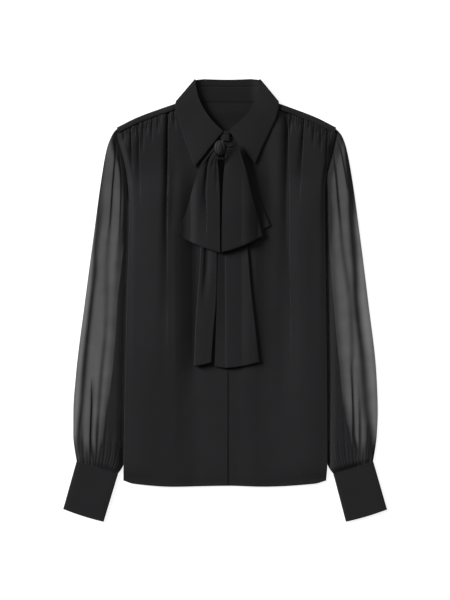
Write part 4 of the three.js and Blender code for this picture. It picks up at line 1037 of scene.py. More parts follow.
def sleeve_height(x, y, across, down, key):
    outer = through(SLEEVE_OUTER, "y", key)
    clear = np.abs(x) - np.abs(BODY_SIDES[key](y))
    inward = np.abs(outer(y)) - np.abs(x)
    puff = SLEEVE_PUFF * ease(0, 16, clear) * ease(-2, 12, inward)
    ridge = CUFF_RIDGE * ease(0.7, 1, down)
    sunk = LONG_FOLD_DEPTH * np.maximum(0, fold_density(x, y, key))
    form = puff + ridge - CUFF_FOLD_DEPTH * cuff_troughs(across, down, -TOWARDS[key]) - sunk
    height = SLEEVE_EDGE_HEIGHT + np.maximum(0, form * ease(0, 8, clear) * ease(0, 6, inward))
    mouth = ease(UNDERARM_Y - 10, UNDERARM_Y + 4, y) * (1 - ease(-1, 4, clear))
    return mix(height, ARMHOLE_HEIGHT, mouth)


densest = max(fold["dense"].max() for fold in SLEEVE_FOLDS["right"] + SLEEVE_FOLDS["left"])
print("densest fold of the sleeves:", densest)

# %% [markdown]
# The spare width of a sleeve
# The cloth that is left over lies doubled under the inner side, from the body out to a line of its
# own. That line shows through the top layer as the edge of a darker band, so it is a list of points.
# The points are places on the table. The sheet needs them as shares across each row, and the row
# itself slants, so the share is found in a few rounds.
# %% Spare width
SPARE_EDGE = table("y right left", [
    (178, -165.0, 172.0), (150, -167.5, 178.0), (93.5, -174.4, 180.0), (39, -180.0, 182.6),
    (0, -184.3, 185.5), (-57, -187.2, 189.7), (-113, -191.4, 195.3), (-170, -198.6, 200.5),
    (-199, -203.0, 205.2), (-227, -207.0, 213.0), (-275, -212.0, 219.0)])
ROUNDS = 4


def spare_across(plan, down, key):
    """Where the spare width ends across the sleeve, on each row."""
    edge = through(SPARE_EDGE, "y", key)
    across = np.full_like(down, 0.8)
    outer_x, inner_x = sleeve_edges(plan, down)
    for _ in range(ROUNDS):
        _, y = plan(across, down)
        across = np.clip((edge(y) - outer_x) / (inner_x - outer_x), 0.05, 0.985)
    return across


print("spare width at y 0:", round(float(through(SPARE_EDGE, "y", "left")(0.0) - side_left(0.0)), 1), "mm")

# %% [markdown]
# The path of the sleeve's cloth
# One sheet makes the whole sleeve. Seen from its end it runs out and back under the inner side, which
# is the spare width, then to the outer edge and over the top. The layers underneath lie a tenth of a
# millimetre apart, and only the top one follows the puff and the folds. Four flat sheets would show
# cut edges where the real cloth is folded.
# %% Path of the sleeve's cloth
SLEEVE_ROWS = 190
# The top layer inside the cuff, and how far the layers underneath rise there
CUFF_MIDDLE = 2.8
CUFF_RISE = 1.3


def sleeve_path(down, spare):
    """Across the cloth: place on the sleeve, height of the lower layers, and where the top layer starts."""
    inner = np.ones_like(down)
    outer = np.zeros_like(down)
    runs = [(inner, spare, 0.62, 0.56, 24), (spare, inner, 0.56, 0.42, 24),
            (inner, outer, 0.42, 0.25, 42), (outer, inner, 0.0, 0.0, 150)]
    places = []
    levels = []
    for start, end, low, high, count in runs:
        skip = 1 if places else 0
        share = np.linspace(0, 1, count)[None, skip:]
        places.append(mix(start, end, share))
        levels.append(mix(low, high, share) * inner)
    across = np.concatenate(places, axis=1)
    top_start = across.shape[1] - places[-1].shape[1]
    on_top = (np.arange(across.shape[1]) >= top_start)[None] * np.ones_like(across)
    return across, np.concatenate(levels, axis=1), on_top


print("rows of a sleeve:", SLEEVE_ROWS)

# %% [markdown]
# Where the chiffon is dense
# The mesh carries a number for each point that tells the shader how bunched the cloth is. It grows in
# the long folds, in the gathers above the cuff, at the armhole seam, along the folded outer edge, and
# where the spare width ends. Beside the body, below the underarm, it grows as well: partly for the
# seam allowance and partly as painted shade from the body's edge. Painting it by hand would do, but
# functions follow every later change.
# %% Where the chiffon is dense
DENSITY_LIMITS = (-0.5, 1.1)
# How much denser than one flat layer the chiffon looks in each of these places. The underarm share is
# partly seam allowance and partly painted shade.
DENSER_AND_PAINTED_SHADE = {"cuff folds": 0.7, "upper sleeve": 0.14, "cuff seam": 0.4, "armhole seam": 0.5,
          "spare edge": 0.45, "outer edge": 0.5, "underarm": 0.7}


def sleeve_density_and_painted_shade(x, y, across, down, on_top, key):
    inward = np.abs(through(SLEEVE_OUTER, "y", key)(y)) - np.abs(x)
    past_spare = np.maximum(0, np.abs(x) - np.abs(through(SPARE_EDGE, "y", key)(y)))
    clear = np.abs(x) - np.abs(BODY_SIDES[key](y))
    long_folds = fold_density(x, y, key) * mix(0.35, 1, on_top)
    cuff_folds = DENSER_AND_PAINTED_SHADE["cuff folds"] * cuff_troughs(across, down) * mix(0.4, 1, on_top)
    upper_sleeve = DENSER_AND_PAINTED_SHADE["upper sleeve"] * ease(40, 190, y) * on_top
    at_seams = DENSER_AND_PAINTED_SHADE["cuff seam"] * ease(0.9, 1, down) + DENSER_AND_PAINTED_SHADE["armhole seam"] * (1 - ease(0, 0.05, down))
    spare_edge = DENSER_AND_PAINTED_SHADE["spare edge"] * bump(past_spare, 7.0) * on_top
    outer_edge = DENSER_AND_PAINTED_SHADE["outer edge"] * bump(inward, 0.9) * on_top
    # Darker beside the body's edge: partly seam allowance, partly painted shade from the body's edge.
    underarm = DENSER_AND_PAINTED_SHADE["underarm"] * bump(np.maximum(0, clear - 3), 8.0) * ease(60, 130, y) * on_top
    return long_folds + cuff_folds + upper_sleeve + at_seams + spare_edge + outer_edge + underarm


print("density is kept between", DENSITY_LIMITS)

# %% [markdown]
# The sleeve sheets
# Plan, path, height and density come together here. Both sleeves use the same function, but each has
# its own outline and folds, as the two never lie alike.
# %% Sleeve sheets


def make_sleeve(name, key):
    plan = sleeve_plan(key)
    rows = np.linspace(0, INTO_CUFF, SLEEVE_ROWS)[:, None]
    across, level, on_top = sleeve_path(rows, spare_across(plan, rows, key))
    down = rows * np.ones_like(across)
    x, y = plan(across, down)
    inside_cuff = ease(0.985, 1, down)
    top_z = mix(sleeve_height(x, y, across, down, key), CUFF_MIDDLE, inside_cuff)
    z = np.where(on_top > 0, top_z, mix(level, level + CUFF_RISE, inside_cuff))
    obj = mesh_object(name, stack(x, y, z).reshape(-1, 3), grid_quads(*x.shape), 80)
    dense = np.clip(sleeve_density_and_painted_shade(x, y, across, down, on_top, key), *DENSITY_LIMITS)
    layer = obj.data.attributes.new("bunch_and_painted_shade", "FLOAT", "POINT")
    layer.data.foreach_set("value", dense.astype(np.float32).ravel())
    return obj


sleeve_right = make_sleeve("cloth_sleeve_right", "right")
dress(sleeve_right, "sleeve_right", chiffon)
sleeve_left = make_sleeve("cloth_sleeve_left", "left")
dress(sleeve_left, "sleeve_left", chiffon)

# %% [markdown]
# The cuffs
# Each cuff is a deep band of doubled crepe with interfacing inside, so it stays flat and its edges
# are soft but straight. It is one sheet bent into a flat tube, the same way as the sleeve.
# %% Cuffs
CUFF_CORNERS = {
    "right": {"top_outer": (-252.6, -275.4), "top_inner": (-182.8, -296.2),
              "end_inner": (-207.1, -377.0), "end_outer": (-275.1, -355.6)},
    "left": {"top_outer": (251.8, -275.4), "top_inner": (184.6, -296.2),
             "end_inner": (205.8, -377.0), "end_outer": (275.1, -356.4)}}
CUFF_HEIGHT = 4.2
CUFF_END_BOW = 1.4
CUFF_DEPTH = 85
CUFF_ROUND = 0.02
CUFF_STITCH = {"from_top": 5.0, "from_end": 4.0, "width": 0.8, "depth": 0.16}
TURN = np.linspace(0, math.pi, 9)[1:-1]


def round_tube(across_top, across_right, across_left):
    """Places and levels round a flat tube: over the top from its middle, under, and back to the middle."""
    middle = 30
    count = len(across_top)
    across = np.concatenate([across_top[middle:], across_right, across_top[::-1], across_left,
                             across_top[:middle + 1]])[None]
    level = np.concatenate([np.ones(count - middle), np.cos(TURN), -np.ones(count), -np.cos(TURN),
                            np.ones(middle + 1)])[None]
    return across, level


def make_cuff(name, key):
    corner = {label: np.array(place) for label, place in CUFF_CORNERS[key].items()}
    down = steps((0, 0.05, 8), (0.05, 0.95, 50), (0.95, 1, 9))[:, None]
    half = CUFF_HEIGHT / 2 - FIRM_CLOTH / 2
    across_top = mix(CUFF_ROUND, 1 - CUFF_ROUND, np.linspace(0, 1, 60))
    rounded = CUFF_ROUND - CUFF_ROUND * np.sin(TURN)
    across, level = round_tube(across_top, 1 - rounded, rounded)
    outer_edge = mix(corner["top_outer"], corner["end_outer"], down[..., None])
    inner_edge = mix(corner["top_inner"], corner["end_inner"], down[..., None])
    plan = mix(outer_edge, inner_edge, across[..., None])
    bow = CUFF_END_BOW * np.sin(math.pi * np.clip(across, 0, 1)) * down
    height = half - 0.25 * (1 - ease(0, 0.12, np.minimum(across, 1 - across)))
    top_row = bump((1 - down) * CUFF_DEPTH - CUFF_STITCH["from_top"], CUFF_STITCH["width"])
    end_row = bump(down * CUFF_DEPTH - CUFF_STITCH["from_end"], CUFF_STITCH["width"])
    stitch = CUFF_STITCH["depth"] * (top_row + end_row)
    wave = 0.16 * np.sin(across * 7 + down * 3) * (1 - down)
    z = FIRM_CLOTH / 2 + half + level * (height - stitch) + np.maximum(level, 0) * wave
    return shell(name, stack(plan[..., 0], plan[..., 1] - bow, z), FIRM_CLOTH)


cuff_right = make_cuff("cloth_cuff_right", "right")
dress(cuff_right, "cuff_right", crepe)
cuff_left = make_cuff("cloth_cuff_left", "left")
dress(cuff_left, "cuff_left", crepe)

# %% [markdown]
# The collar
# A shirt collar is a stiff band folded over its stand. Laid flat, its leaves come forward over the
# shoulders and the rest lies behind the neck. It is one sheet swept along the neck: each line across
# it runs from the roll at the neck to the outer edge. These are the lines at the points that shape it.
# %% Collar lines
LEAF_RIGHT = table("roll_x roll_y roll_z out_x out_y out_z", [
    (-3.6, 287.0, 9.0, -52.4, 226.1, 7.0), (-16.7, 299.2, 9.6, -60.9, 249.5, 6.8),
    (-30.8, 316.2, 9.8, -72.1, 280.0, 6.9), (-41.0, 333.7, 9.8, -79.2, 306.0, 8.2),
    (-46.1, 346.5, 9.6, -83.6, 323.3, 9.0), (-50.0, 365.0, 8.6, -85.2, 332.0, 9.0)])
LEAF_LEFT = table("roll_x roll_y roll_z out_x out_y out_z", [
    (6.0, 287.4, 9.0, 51.0, 231.2, 7.0), (25.0, 304.3, 9.6, 62.8, 260.0, 6.8),
    (38.9, 317.9, 9.8, 75.3, 285.3, 6.9), (47.4, 333.7, 9.8, 85.4, 307.7, 8.2),
    (52.5, 347.6, 9.6, 90.0, 323.3, 9.0), (57.6, 365.0, 8.6, 92.2, 332.4, 9.0)])
COLLAR_FOLD_RIGHT = {"roll_x": -50.5, "roll_y": 374.6, "out_x": -83.2, "out_y": 336.4}
COLLAR_FOLD_LEFT = {"roll_x": 58.6, "roll_y": 374.8, "out_x": 90.4, "out_y": 336.4}
COLLAR_BEHIND = table("roll_x roll_y out_x out_y", [
    (-36, 376.0, -60, 328.5), (-16, 375.4, -28, 326.0), (4, 375.0, 4, 325.6), (24, 375.4, 36, 326.0),
    (44, 376.2, 68, 328.5)])
LEAF_ARCH = 0.5
print("collar point:", round(math.dist((-3.6, 287.0), (-52.4, 226.1)), 1), "mm from the roll")

# %% [markdown]
# The leaves and where they turn over
# Each leaf is a smooth surface between its roll line and its outer edge, arched a little, because an
# interfaced collar never lies quite flat. Beside the neck the sheet turns over in a half circle to the
# part behind. A sharp crease there would look pressed.
# %% Collar leaves and turns


def leaf_lines(leaf, count, share):
    at = np.linspace(0, 1, count)[:, None]
    value = {name: down_rows(leaf, name)(at) for name in leaf}
    x = mix(value["roll_x"], value["out_x"], share)
    y = mix(value["roll_y"], value["out_y"], share)
    z = mix(value["roll_z"], value["out_z"], share) + LEAF_ARCH * np.sin(math.pi * share)
    return stack(x, y, z)


def collar_fold(edge, leaf, outwards, share):
    half = STIFF_CLOTH / 2
    run = np.array([edge["out_x"] - edge["roll_x"], edge["out_y"] - edge["roll_y"]])
    run = run / np.linalg.norm(run)
    x = mix(edge["roll_x"], edge["out_x"], share)
    y = mix(edge["roll_y"], edge["out_y"], share)
    top = mix(leaf["roll_z"][-1], leaf["out_z"][-1], share) + LEAF_ARCH * np.sin(math.pi * share)
    angle = np.linspace(math.pi / 2, -math.pi / 2, 15)[:, None]
    radius = (top - half) / 2
    bulge = 0.9 * np.cos(angle)
    z = half + radius + radius * np.sin(angle)
    return stack(x + outwards * abs(run[1]) * bulge, y + abs(run[0]) * bulge, z)


print("the collar turns over at x", COLLAR_FOLD_RIGHT["roll_x"], "and", COLLAR_FOLD_LEFT["roll_x"])

# %% [markdown]
# The collar sheet
# The five stretches are joined in the order in which they follow each other along the neck: right
# leaf, turn, the part behind, turn, left leaf. A stitched line runs just inside the edge, so the edge
# is a little thinner than the rest.
# %% Collar sheet
EDGE_STITCH = 0.22


def make_collar():
    share = steps((0, 0.06, 5), (0.06, 0.92, 34), (0.92, 1, 10))[None]
    at = np.linspace(0, 1, 50)[:, None]
    behind = {name: down_rows(COLLAR_BEHIND, name)(at) for name in COLLAR_BEHIND}
    behind_x = mix(behind["roll_x"], behind["out_x"], share)
    behind_y = mix(behind["roll_y"], behind["out_y"], share)
    behind_points = stack(behind_x, behind_y, STIFF_CLOTH / 2)
    right = leaf_lines(LEAF_RIGHT, 70, share)
    left = leaf_lines(LEAF_LEFT, 70, share)[::-1]
    fold_right = collar_fold(COLLAR_FOLD_RIGHT, LEAF_RIGHT, -1, share)
    fold_left = collar_fold(COLLAR_FOLD_LEFT, LEAF_LEFT, 1, share)[::-1]
    points = np.concatenate([right, fold_right, behind_points, fold_left, left])
    rows = len(points)
    from_edge = np.minimum(np.arange(rows), np.arange(rows)[::-1])[:, None]
    front_edge = 1 - ease(0, 3, from_edge * 0.9)
    points[..., 2] -= EDGE_STITCH * (front_edge + bump(1 - share, 0.02))
    return shell("cloth_collar", points, FIRM_CLOTH)


collar = make_collar()
dress(collar, "collar", crepe)

# %% [markdown]
# The collar stand
# The stand is the band inside the neck. Behind, it shows between the collar leaves with two seams:
# one to the collar above it and one to the yoke below. Each seam is a narrow trough pressed into the
# sheet, because at this size a real stitched seam is only a line of shade.
# %% Collar stand
STAND_COLUMNS = "neck_x neck_y roll_x roll_y z"
STAND = table(STAND_COLUMNS, [
    (-49.5, 346.0, -52.5, 362.0, 6.2), (-45.5, 337.5, -46.5, 373.0, 4.2), (-32.0, 336.5, -34.0, 375.2, 2.2),
    (4.0, 336.3, 4.0, 374.4, 2.0), (40.0, 336.5, 42.0, 375.4, 2.2), (53.5, 337.5, 54.0, 373.4, 4.2),
    (57.5, 346.0, 60.5, 362.0, 6.2)])
STAND_RIGHT = table(STAND_COLUMNS, [
    (-21.0, 286.0, -12.5, 292.0, 6.6), (-36.0, 303.0, -28.0, 309.5, 6.6), (-47.5, 321.0, -40.0, 327.0, 6.6),
    (-50.2, 333.0, -44.2, 336.0, 6.4)])
STAND_LEFT = table(STAND_COLUMNS, [
    (24.0, 287.5, 15.5, 293.5, 6.6), (42.5, 304.0, 34.5, 310.5, 6.6), (54.6, 322.0, 46.8, 328.0, 6.6),
    (57.4, 333.0, 51.2, 336.0, 6.4)])
COLLAR_SEAM_Y = 362.8
COLLAR_SEAM = {"depth": 0.7, "width": 0.9}
NECK_SEAM_DEPTH = 0.5
STAND_ARCH = 0.35


def make_stand(name, rows, lines):
    at = np.linspace(0, 1, lines)[:, None]
    share = np.linspace(0, 1, 44)[None]
    value = {label: down_rows(rows, label)(at) for label in rows}
    x = mix(value["neck_x"], value["roll_x"], share)
    y = mix(value["neck_y"], value["roll_y"], share)
    seam = COLLAR_SEAM["depth"] * bump(y - COLLAR_SEAM_Y, COLLAR_SEAM["width"])
    neck = NECK_SEAM_DEPTH * (1 - ease(0, 0.06, share))
    z = value["z"] + CLOTH - FIRM_CLOTH / 2 + STAND_ARCH * np.sin(math.pi * share) - seam - neck
    return shell(name, stack(x, y, z), FIRM_CLOTH)


stand = make_stand("cloth_collar_stand", STAND, 160)
# The stand takes the darker crepe, whose colours are painted shade.
dress(stand, "collar_stand", crepe_painted_shade)
stand_right = make_stand("cloth_stand_right", STAND_RIGHT, 60)
dress(stand_right, "stand_right", crepe_painted_shade)
stand_left = make_stand("cloth_stand_left", STAND_LEFT, 60)
dress(stand_left, "stand_left", crepe_painted_shade)

# %% [markdown]
# The front end of the stand
# Between the collar leaves, right above the knot, the two ends of the stand meet and one short stretch
# of band shows. It is a small arched sheet with a seam across it.
# %% Front end of the stand
STAND_END = {"left": -7.3, "right": 7.0, "top": 287.5, "bottom": 270.6, "seam": 280.5, "z": 6.5}


def make_stand_end():
    across = np.linspace(0, 1, 24)[None]
    down = np.linspace(0, 1, 30)[:, None]
    x = mix(STAND_END["left"], STAND_END["right"], across)
    y = mix(STAND_END["top"], STAND_END["bottom"], down)
    seam = 0.5 * bump(y - STAND_END["seam"], 0.8)
    arch = 0.5 * np.sin(math.pi * across) - 0.5 * down
    z = STAND_END["z"] + CLOTH - FIRM_CLOTH / 2 + arch - seam
    return shell("cloth_stand_end", stack(x, y, z), FIRM_CLOTH)


stand_end = make_stand_end()
dress(stand_end, "stand_end", crepe)

# %% [markdown]
# The bow
# The bow is one long strip of doubled crepe, 76 mm wide, tied in a knot: two loops that hang down
# and two tails below them. It is built from below, in the order in which its parts lie on each other.
# First come the plans of the two tails: their outer and inner edges and their cut ends.
# %% Plans of the tails
TAIL_RIGHT = table("y outer inner", [
    (236, -17.0, -8.6), (180, -27.0, -11.0), (88.9, -41.8, -13.6), (55.6, -42.7, -14.0),
    (3.1, -46.6, -15.2), (-52.5, -50.3, -19.8), (-112.9, -52.0, -24.4)])
TAIL_LEFT = table("y outer inner", [
    (236, 2.0, -8.0), (180, 20.0, -10.2), (94.4, 36.9, -12.4), (24.7, 43.2, -13.4),
    (-44.9, 50.8, -15.2), (-112.9, 58.4, -17.2)])
TAIL_RIGHT_END = table("x y", [(-52, -112.9), (-38, -110.5), (-24, -106.8)])
TAIL_LEFT_END = table("x y", [(-17.2, -112.9), (2.9, -115.9), (24.5, -113.6), (57.8, -106.6)])
left_tail_width = TAIL_LEFT["outer"][-1] - TAIL_LEFT["inner"][-1]
print("width of the left tail at its end:", round(float(left_tail_width), 1), "mm")

# %% [markdown]
# Doubled cloth as a flat tube
# A tie is a strip sewn into a tube and turned, so its two long edges are rounded folds. The tube is one
# sheet that runs over the top, round one edge, back underneath and round the other. Its ends close,
# because they are sewn shut. Two separate sheets would show two raw edges at each side.
# %% Flat tube
EDGE_ROUND = 0.35


def flat_tube(name, plan, heights, down):
    flat = steps((0, 0.08, 8), (0.08, 0.92, 56), (0.92, 1, 9))
    across, level = round_tube(flat, np.ones(len(TURN)), np.zeros(len(TURN)))
    out, _ = round_tube(0 * flat, np.sin(TURN), -np.sin(TURN))
    x, y = plan(across, down)
    left, _ = plan(np.zeros_like(across), down)
    right, _ = plan(np.ones_like(across), down)
    low, high = heights(x, y, across, down)
    half = (high - low) / 2
    bulge = np.minimum(half, EDGE_ROUND) * out * np.sign(right - left)
    return shell(name, stack(x + bulge, y, (low + high) / 2 + half * level), FINE_CLOTH)


print("rounding of the edges:", EDGE_ROUND, "mm")

# %% [markdown]
# How the tails puff and crease
# The right tail stands up off the front with one folded edge and one shallow crease. The left tail is
# wider and flatter: a step runs down it where the strip is folded on itself, and beyond the step it
# slants up under the knot. Each form is a few curves over the tail's width and length.
# %% Forms of the tails
STEP_START = 0.752
STEP_END = 0.757
RIGHT_TAIL_HEIGHT = 3.1
RIGHT_TAIL_CREASE = 1.8
LEFT_TAIL_HEIGHT = 0.1
LEFT_TAIL_STEP = 0.6
LEFT_TAIL_SLANT = 1.9


def tail_right_form(across, down):
    upper = 1 - ease(0.5, 0.75, down)
    edge_fold = 0.7 * (1 - ease(0.2, 0.27, across)) * upper
    crease = RIGHT_TAIL_CREASE * bump(across - mix(0.5, 0.3, down), 0.2) * ease(0.1, 0.3, down) * upper
    inner_sink = 0.7 * ease(0.2, 1, across) * ease(0.3, 0.7, down)
    return RIGHT_TAIL_HEIGHT + edge_fold - crease - inner_sink


def tail_left_form(across, down):
    strip = LEFT_TAIL_STEP * (1 - ease(STEP_START, STEP_END, across))
    beyond_step = np.maximum(0, across - STEP_END) / (1 - STEP_END)
    slant = LEFT_TAIL_SLANT * beyond_step * (1 - ease(0.6, 0.95, down))
    outer_sink = 0.3 * (1 - ease(0.0, 0.4, across))
    return LEFT_TAIL_HEIGHT + strip + slant - outer_sink


print("step of the left tail at", STEP_START, "of its width")

# %% [markdown]
# The tails
# Each tail starts hidden under the knot, follows its two edges down and ends on its own cut line. Its
# underside lies on the fronts, its top is the form above it, and both meet at the sewn end.
# %% Tails
TAIL_TOP_Y = 238
TAIL_END_Y = -112.0


def make_tail(name, rows, end_rows, form):
    outer = through(rows, "y", "outer")
    inner = through(rows, "y", "inner")
    end = through(end_rows, "x", "y")

    def plan(across, down):
        foot = end(mix(outer(TAIL_END_Y), inner(TAIL_END_Y), across))
        y = mix(TAIL_TOP_Y, foot, down)
        return mix(outer(y), inner(y), across), y

    def heights(x, y, across, down):
        opened = mix(0.6, 1, ease(0, 0.35, down))
        rounded = mix(0.92, 1, ease(0, 0.04, np.minimum(across, 1 - across)))
        low = bow_floor(x, y) + 0.3
        inside = form(across, down) * opened * rounded + 1.0
        return low, low + 0.5 + inside * (1 - ease(0.996, 1, down))

    return flat_tube(name, plan, heights, steps((0, 0.99, 74), (0.99, 1, 12))[:, None])


tail_right = make_tail("cloth_bow_tail_right", TAIL_RIGHT, TAIL_RIGHT_END, tail_right_form)
dress(tail_right, "bow_tail_right", crepe_bow)
tail_left = make_tail("cloth_bow_tail_left", TAIL_LEFT, TAIL_LEFT_END, tail_left_form)
dress(tail_left, "bow_tail_left", crepe_bow)

# %% [markdown]
# Where the loops and their creases lie
# Each loop hangs from the knot, narrow at the top and wide at its lower fold. A row gives both edges at
# one height. The creases start at the knot, where the strip is squeezed, and open out on the way down:
# `top` and `foot` are places across the loop, `from_` and `to` how far down a crease starts and ends.
# %% Plans of the loops
LOOP_RIGHT = table("out_x out_y in_x in_y", [
    (-20.1, 256.4, -12.0, 241.6), (-29.5, 244.5, -12.4, 234.0), (-38.6, 232.5, -11.4, 224.0),
    (-46.3, 213.5, -10.0, 206.0), (-55.4, 187.0, -9.0, 176.0), (-65.3, 151.6, -8.8, 136.0),
    (-80.2, 110.5, -8.8, 80.4)])
LOOP_LEFT = table("out_x out_y in_x in_y", [
    (5.2, 262.6, 0.2, 242.6), (18.5, 266.0, -0.4, 232.0), (26.0, 248.5, -1.8, 220.0),
    (34.2, 222.5, -3.6, 200.0), (43.4, 184.0, -4.8, 168.0), (53.7, 145.5, -5.6, 124.0),
    (63.6, 107.6, -5.9, 80.4)])
CREASE_COLUMNS = "top foot from_ to width depth"
CREASES_RIGHT = table(CREASE_COLUMNS, [
    (0.32, 0.16, 0.03, 0.46, 0.05, 2.0), (0.40, 0.66, 0.12, 0.98, 0.16, 4.4),
    (0.78, 0.70, 0.02, 0.42, 0.05, 1.6), (0.52, 0.50, 0.0, 0.2, 0.04, 1.2),
    (0.93, 0.90, 0.1, 0.7, 0.06, 0.9)])
CREASES_LEFT = table(CREASE_COLUMNS, [
    (0.34, 0.24, 0.0, 0.22, 0.05, 1.5), (0.72, 0.66, 0.0, 0.16, 0.04, 1.0),
    (0.52, 0.46, 0.0, 0.12, 0.03, 0.6), (0.12, 0.10, 0.1, 0.6, 0.05, 0.3)])
print("creases:", len(CREASES_RIGHT["top"]), "in the right loop,", len(CREASES_LEFT["top"]), "in the left")

# %% [markdown]
# What the loops lie on, and how deep they crease
# The loops lie over both tails, so their floor rises there, and the left one also lies over the
# stretch of strip behind it. The creases use the same fold profile and lips as the gathers, which
# keeps one kind of shading over the whole blouse.
# %% Floor and creases of the loops
TAIL_LIFT = 6.5
REAR_LIFT = 2.0
CREASE_CRISP = 0.008


def loop_floor(x, y):
    over_tails = TAIL_LIFT * ease(-72, -46, x) * (1 - ease(29, 70, x))
    return bow_floor(x, y) + np.maximum(over_tails, np.where(x > 0, REAR_LIFT, 0))


def creased(across, down, creases):
    depths = np.zeros(np.broadcast(across, down).shape)
    lips = np.zeros_like(depths)
    for top, foot, start, end, width, depth in zip(*creases.values()):
        share = (down - start) / (end - start)
        place = mix(top, foot, np.clip(share, 0, 1))
        along = ease(-0.25, 0.12, share) * (1 - ease(0.55, 1, share))
        depths += depth * fold_profile(across - place, width, CREASE_CRISP) * along
        lips += depth * fold_lip(across - place, width, CREASE_CRISP) * along
    return depths, lips


floor_over_tail = loop_floor(np.array(20.0), np.array(120.0))
print("floor of the left loop over a tail:", round(float(floor_over_tail), 1), "mm")

# %% [markdown]
# The loops
# Each loop is one sheet that runs down the front, turns at its lower end in a half circle and comes
# back up behind, so it has a rounded lower fold and open sides, as a real loop has. At the knot both
# legs are pulled up. A solid pad would be easier, but its sides would not show that it is hollow.
# %% Loops
LOOP_DEPTH = 3.8
LOOP_BOTTOM_SAG = 3.0
LEAST_DEPTH = 1.4
LONGEST_LIP = 4
LOOP_REACH = 0.975


def make_loop(name, rows, creases, crown):
    edges = {label: down_rows(rows, label) for label in rows}
    across = np.linspace(0, 1, 90)[None]

    def plan(down):
        sag = LOOP_BOTTOM_SAG * np.sin(math.pi * across) * down**4
        x = mix(edges["out_x"](down), edges["in_x"](down), across)
        return x, mix(edges["out_y"](down), edges["in_y"](down), across) - sag

    def pull(down):
        return 1 - ease(0, 0.3, down)

    def rear(down):
        x, y = plan(down)
        return x, y, loop_floor(x, y) + CLOTH / 2 + 0.5 * pull(down)

    def face(down):
        x, y, z = rear(down)
        puff = crown * np.sin(math.pi * mix(0.12, 0.88, across)) * (1 - 0.7 * down)
        rise = (LOOP_DEPTH + puff) * mix(1, 0.42, ease(0.7, 1, down)) + 2.2 * pull(down)
        cut, lip = creased(across, down, creases)
        return x - LIP_REACH * np.minimum(lip, LONGEST_LIP), y, z + np.maximum(LEAST_DEPTH, rise - cut)

    front = stack(*face(np.linspace(0, LOOP_REACH, 110)[:, None]))
    back_leg = stack(*rear(np.linspace(LOOP_REACH, 0.08, 50)[:, None]))
    angle = np.linspace(math.pi / 2, -math.pi / 2, 11)[1:-1, None]
    high, low = front[-1], back_leg[0]
    foot_x, foot_y = plan(np.array([[1.0]]))
    out = np.cos(angle)
    middle_z = (high[:, 2] + low[:, 2])[None] / 2
    half_z = (high[:, 2] - low[:, 2])[None] / 2
    turn = stack(mix(high[None, :, 0], foot_x, out), mix(high[None, :, 1], foot_y, out),
                 middle_z + half_z * np.sin(angle))
    return shell(name, np.concatenate([front, turn, back_leg]), BOW_CLOTH)


loop_right = make_loop("cloth_bow_loop_right", LOOP_RIGHT, CREASES_RIGHT, 1.0)
dress(loop_right, "bow_loop_right", crepe_bow)
loop_left = make_loop("cloth_bow_loop_left", LOOP_LEFT, CREASES_LEFT, 1.8)
dress(loop_left, "bow_loop_left", crepe_bow)

# %% [markdown]
# The stretch behind the left loop
# Past the outer edge of the left loop a corner of the strip shows behind it, where the strip comes
# down from the knot before it turns. It is one plain sheet on the left front, hidden for the most part.
# %% The stretch behind the left loop
LOOP_LEFT_REAR = table("out_x out_y in_x in_y", [
    (28.0, 244.5, 15.0, 234.0), (37.5, 222.0, 20.0, 212.0), (47.9, 196.9, 27.0, 180.0),
    (62.2, 161.5, 36.0, 140.0), (76.3, 126.8, 44.0, 108.3)])


def make_loop_rear():
    edges = {label: down_rows(LOOP_LEFT_REAR, label) for label in LOOP_LEFT_REAR}
    down = np.linspace(0, 1, 80)[:, None]
    across = np.linspace(0, 1, 40)[None]
    x = mix(edges["out_x"](down), edges["in_x"](down), across)
    y = mix(edges["out_y"](down), edges["in_y"](down), across)
    z = bow_floor(x, y) + 0.6 * np.sin(math.pi * across) + CLOTH - BOW_CLOTH / 2
    return shell("cloth_bow_loop_left_rear", stack(x, y, z), BOW_CLOTH)


loop_rear = make_loop_rear()
dress(loop_rear, "bow_loop_left_rear", crepe_bow)

# %% [markdown]
# The knot
# The knot is the strip wrapped once over the rest. It is a rounded pad with the wrap's edges pressed
# into it, so the grid is a ball of rings round its upright axis, and the folds are troughs across it.
# %% Closing a ball of rings
KNOT_RINGS = 64
KNOT_AROUND = 96


def close_ball(points):
    """Quads round a grid of rings, with a point at each pole joined to every second point of its ring."""
    rows, around = points.shape[:2]
    i, j = np.meshgrid(np.arange(rows - 1), np.arange(around), indexing="ij")
    here = (i * around + j).ravel()
    beside = (i * around + (j + 1) % around).ravel()
    sides = np.stack([here, here + around, beside + around, beside], axis=1)
    flat = points.reshape(-1, 3)
    poles = np.array([flat[:around].mean(axis=0), flat[-around:].mean(axis=0)])
    first = np.arange(0, around, 2)
    after = (first + 2) % around
    last_ring = (rows - 1) * around
    pole = np.full(around // 2, rows * around)
    top_cap = np.stack([pole, first, first + 1, after], axis=1)
    foot_cap = np.stack([pole + 1, last_ring + after, last_ring + first + 1, last_ring + first], axis=1)
    return np.concatenate([flat, poles]), np.concatenate([sides, top_cap, foot_cap])


print("knot:", KNOT_RINGS, "rings of", KNOT_AROUND, "points")

# %% [markdown]
# The knot's shape
# The rings are a little squarer than circles, since wrapped cloth is flat between its edges. Two folds
# curve down the front, and one short pinch at the lower end shows where the loops come out.
# %% Knot
KNOT = {"x": -7.8, "y": 255.8, "z": 15.4, "half_x": 11, "half_y": 14.4, "half_z": 8.4}
KNOT_FULLNESS = 0.82
KNOT_SQUARENESS = 0.9
POLE_GAP = 0.02


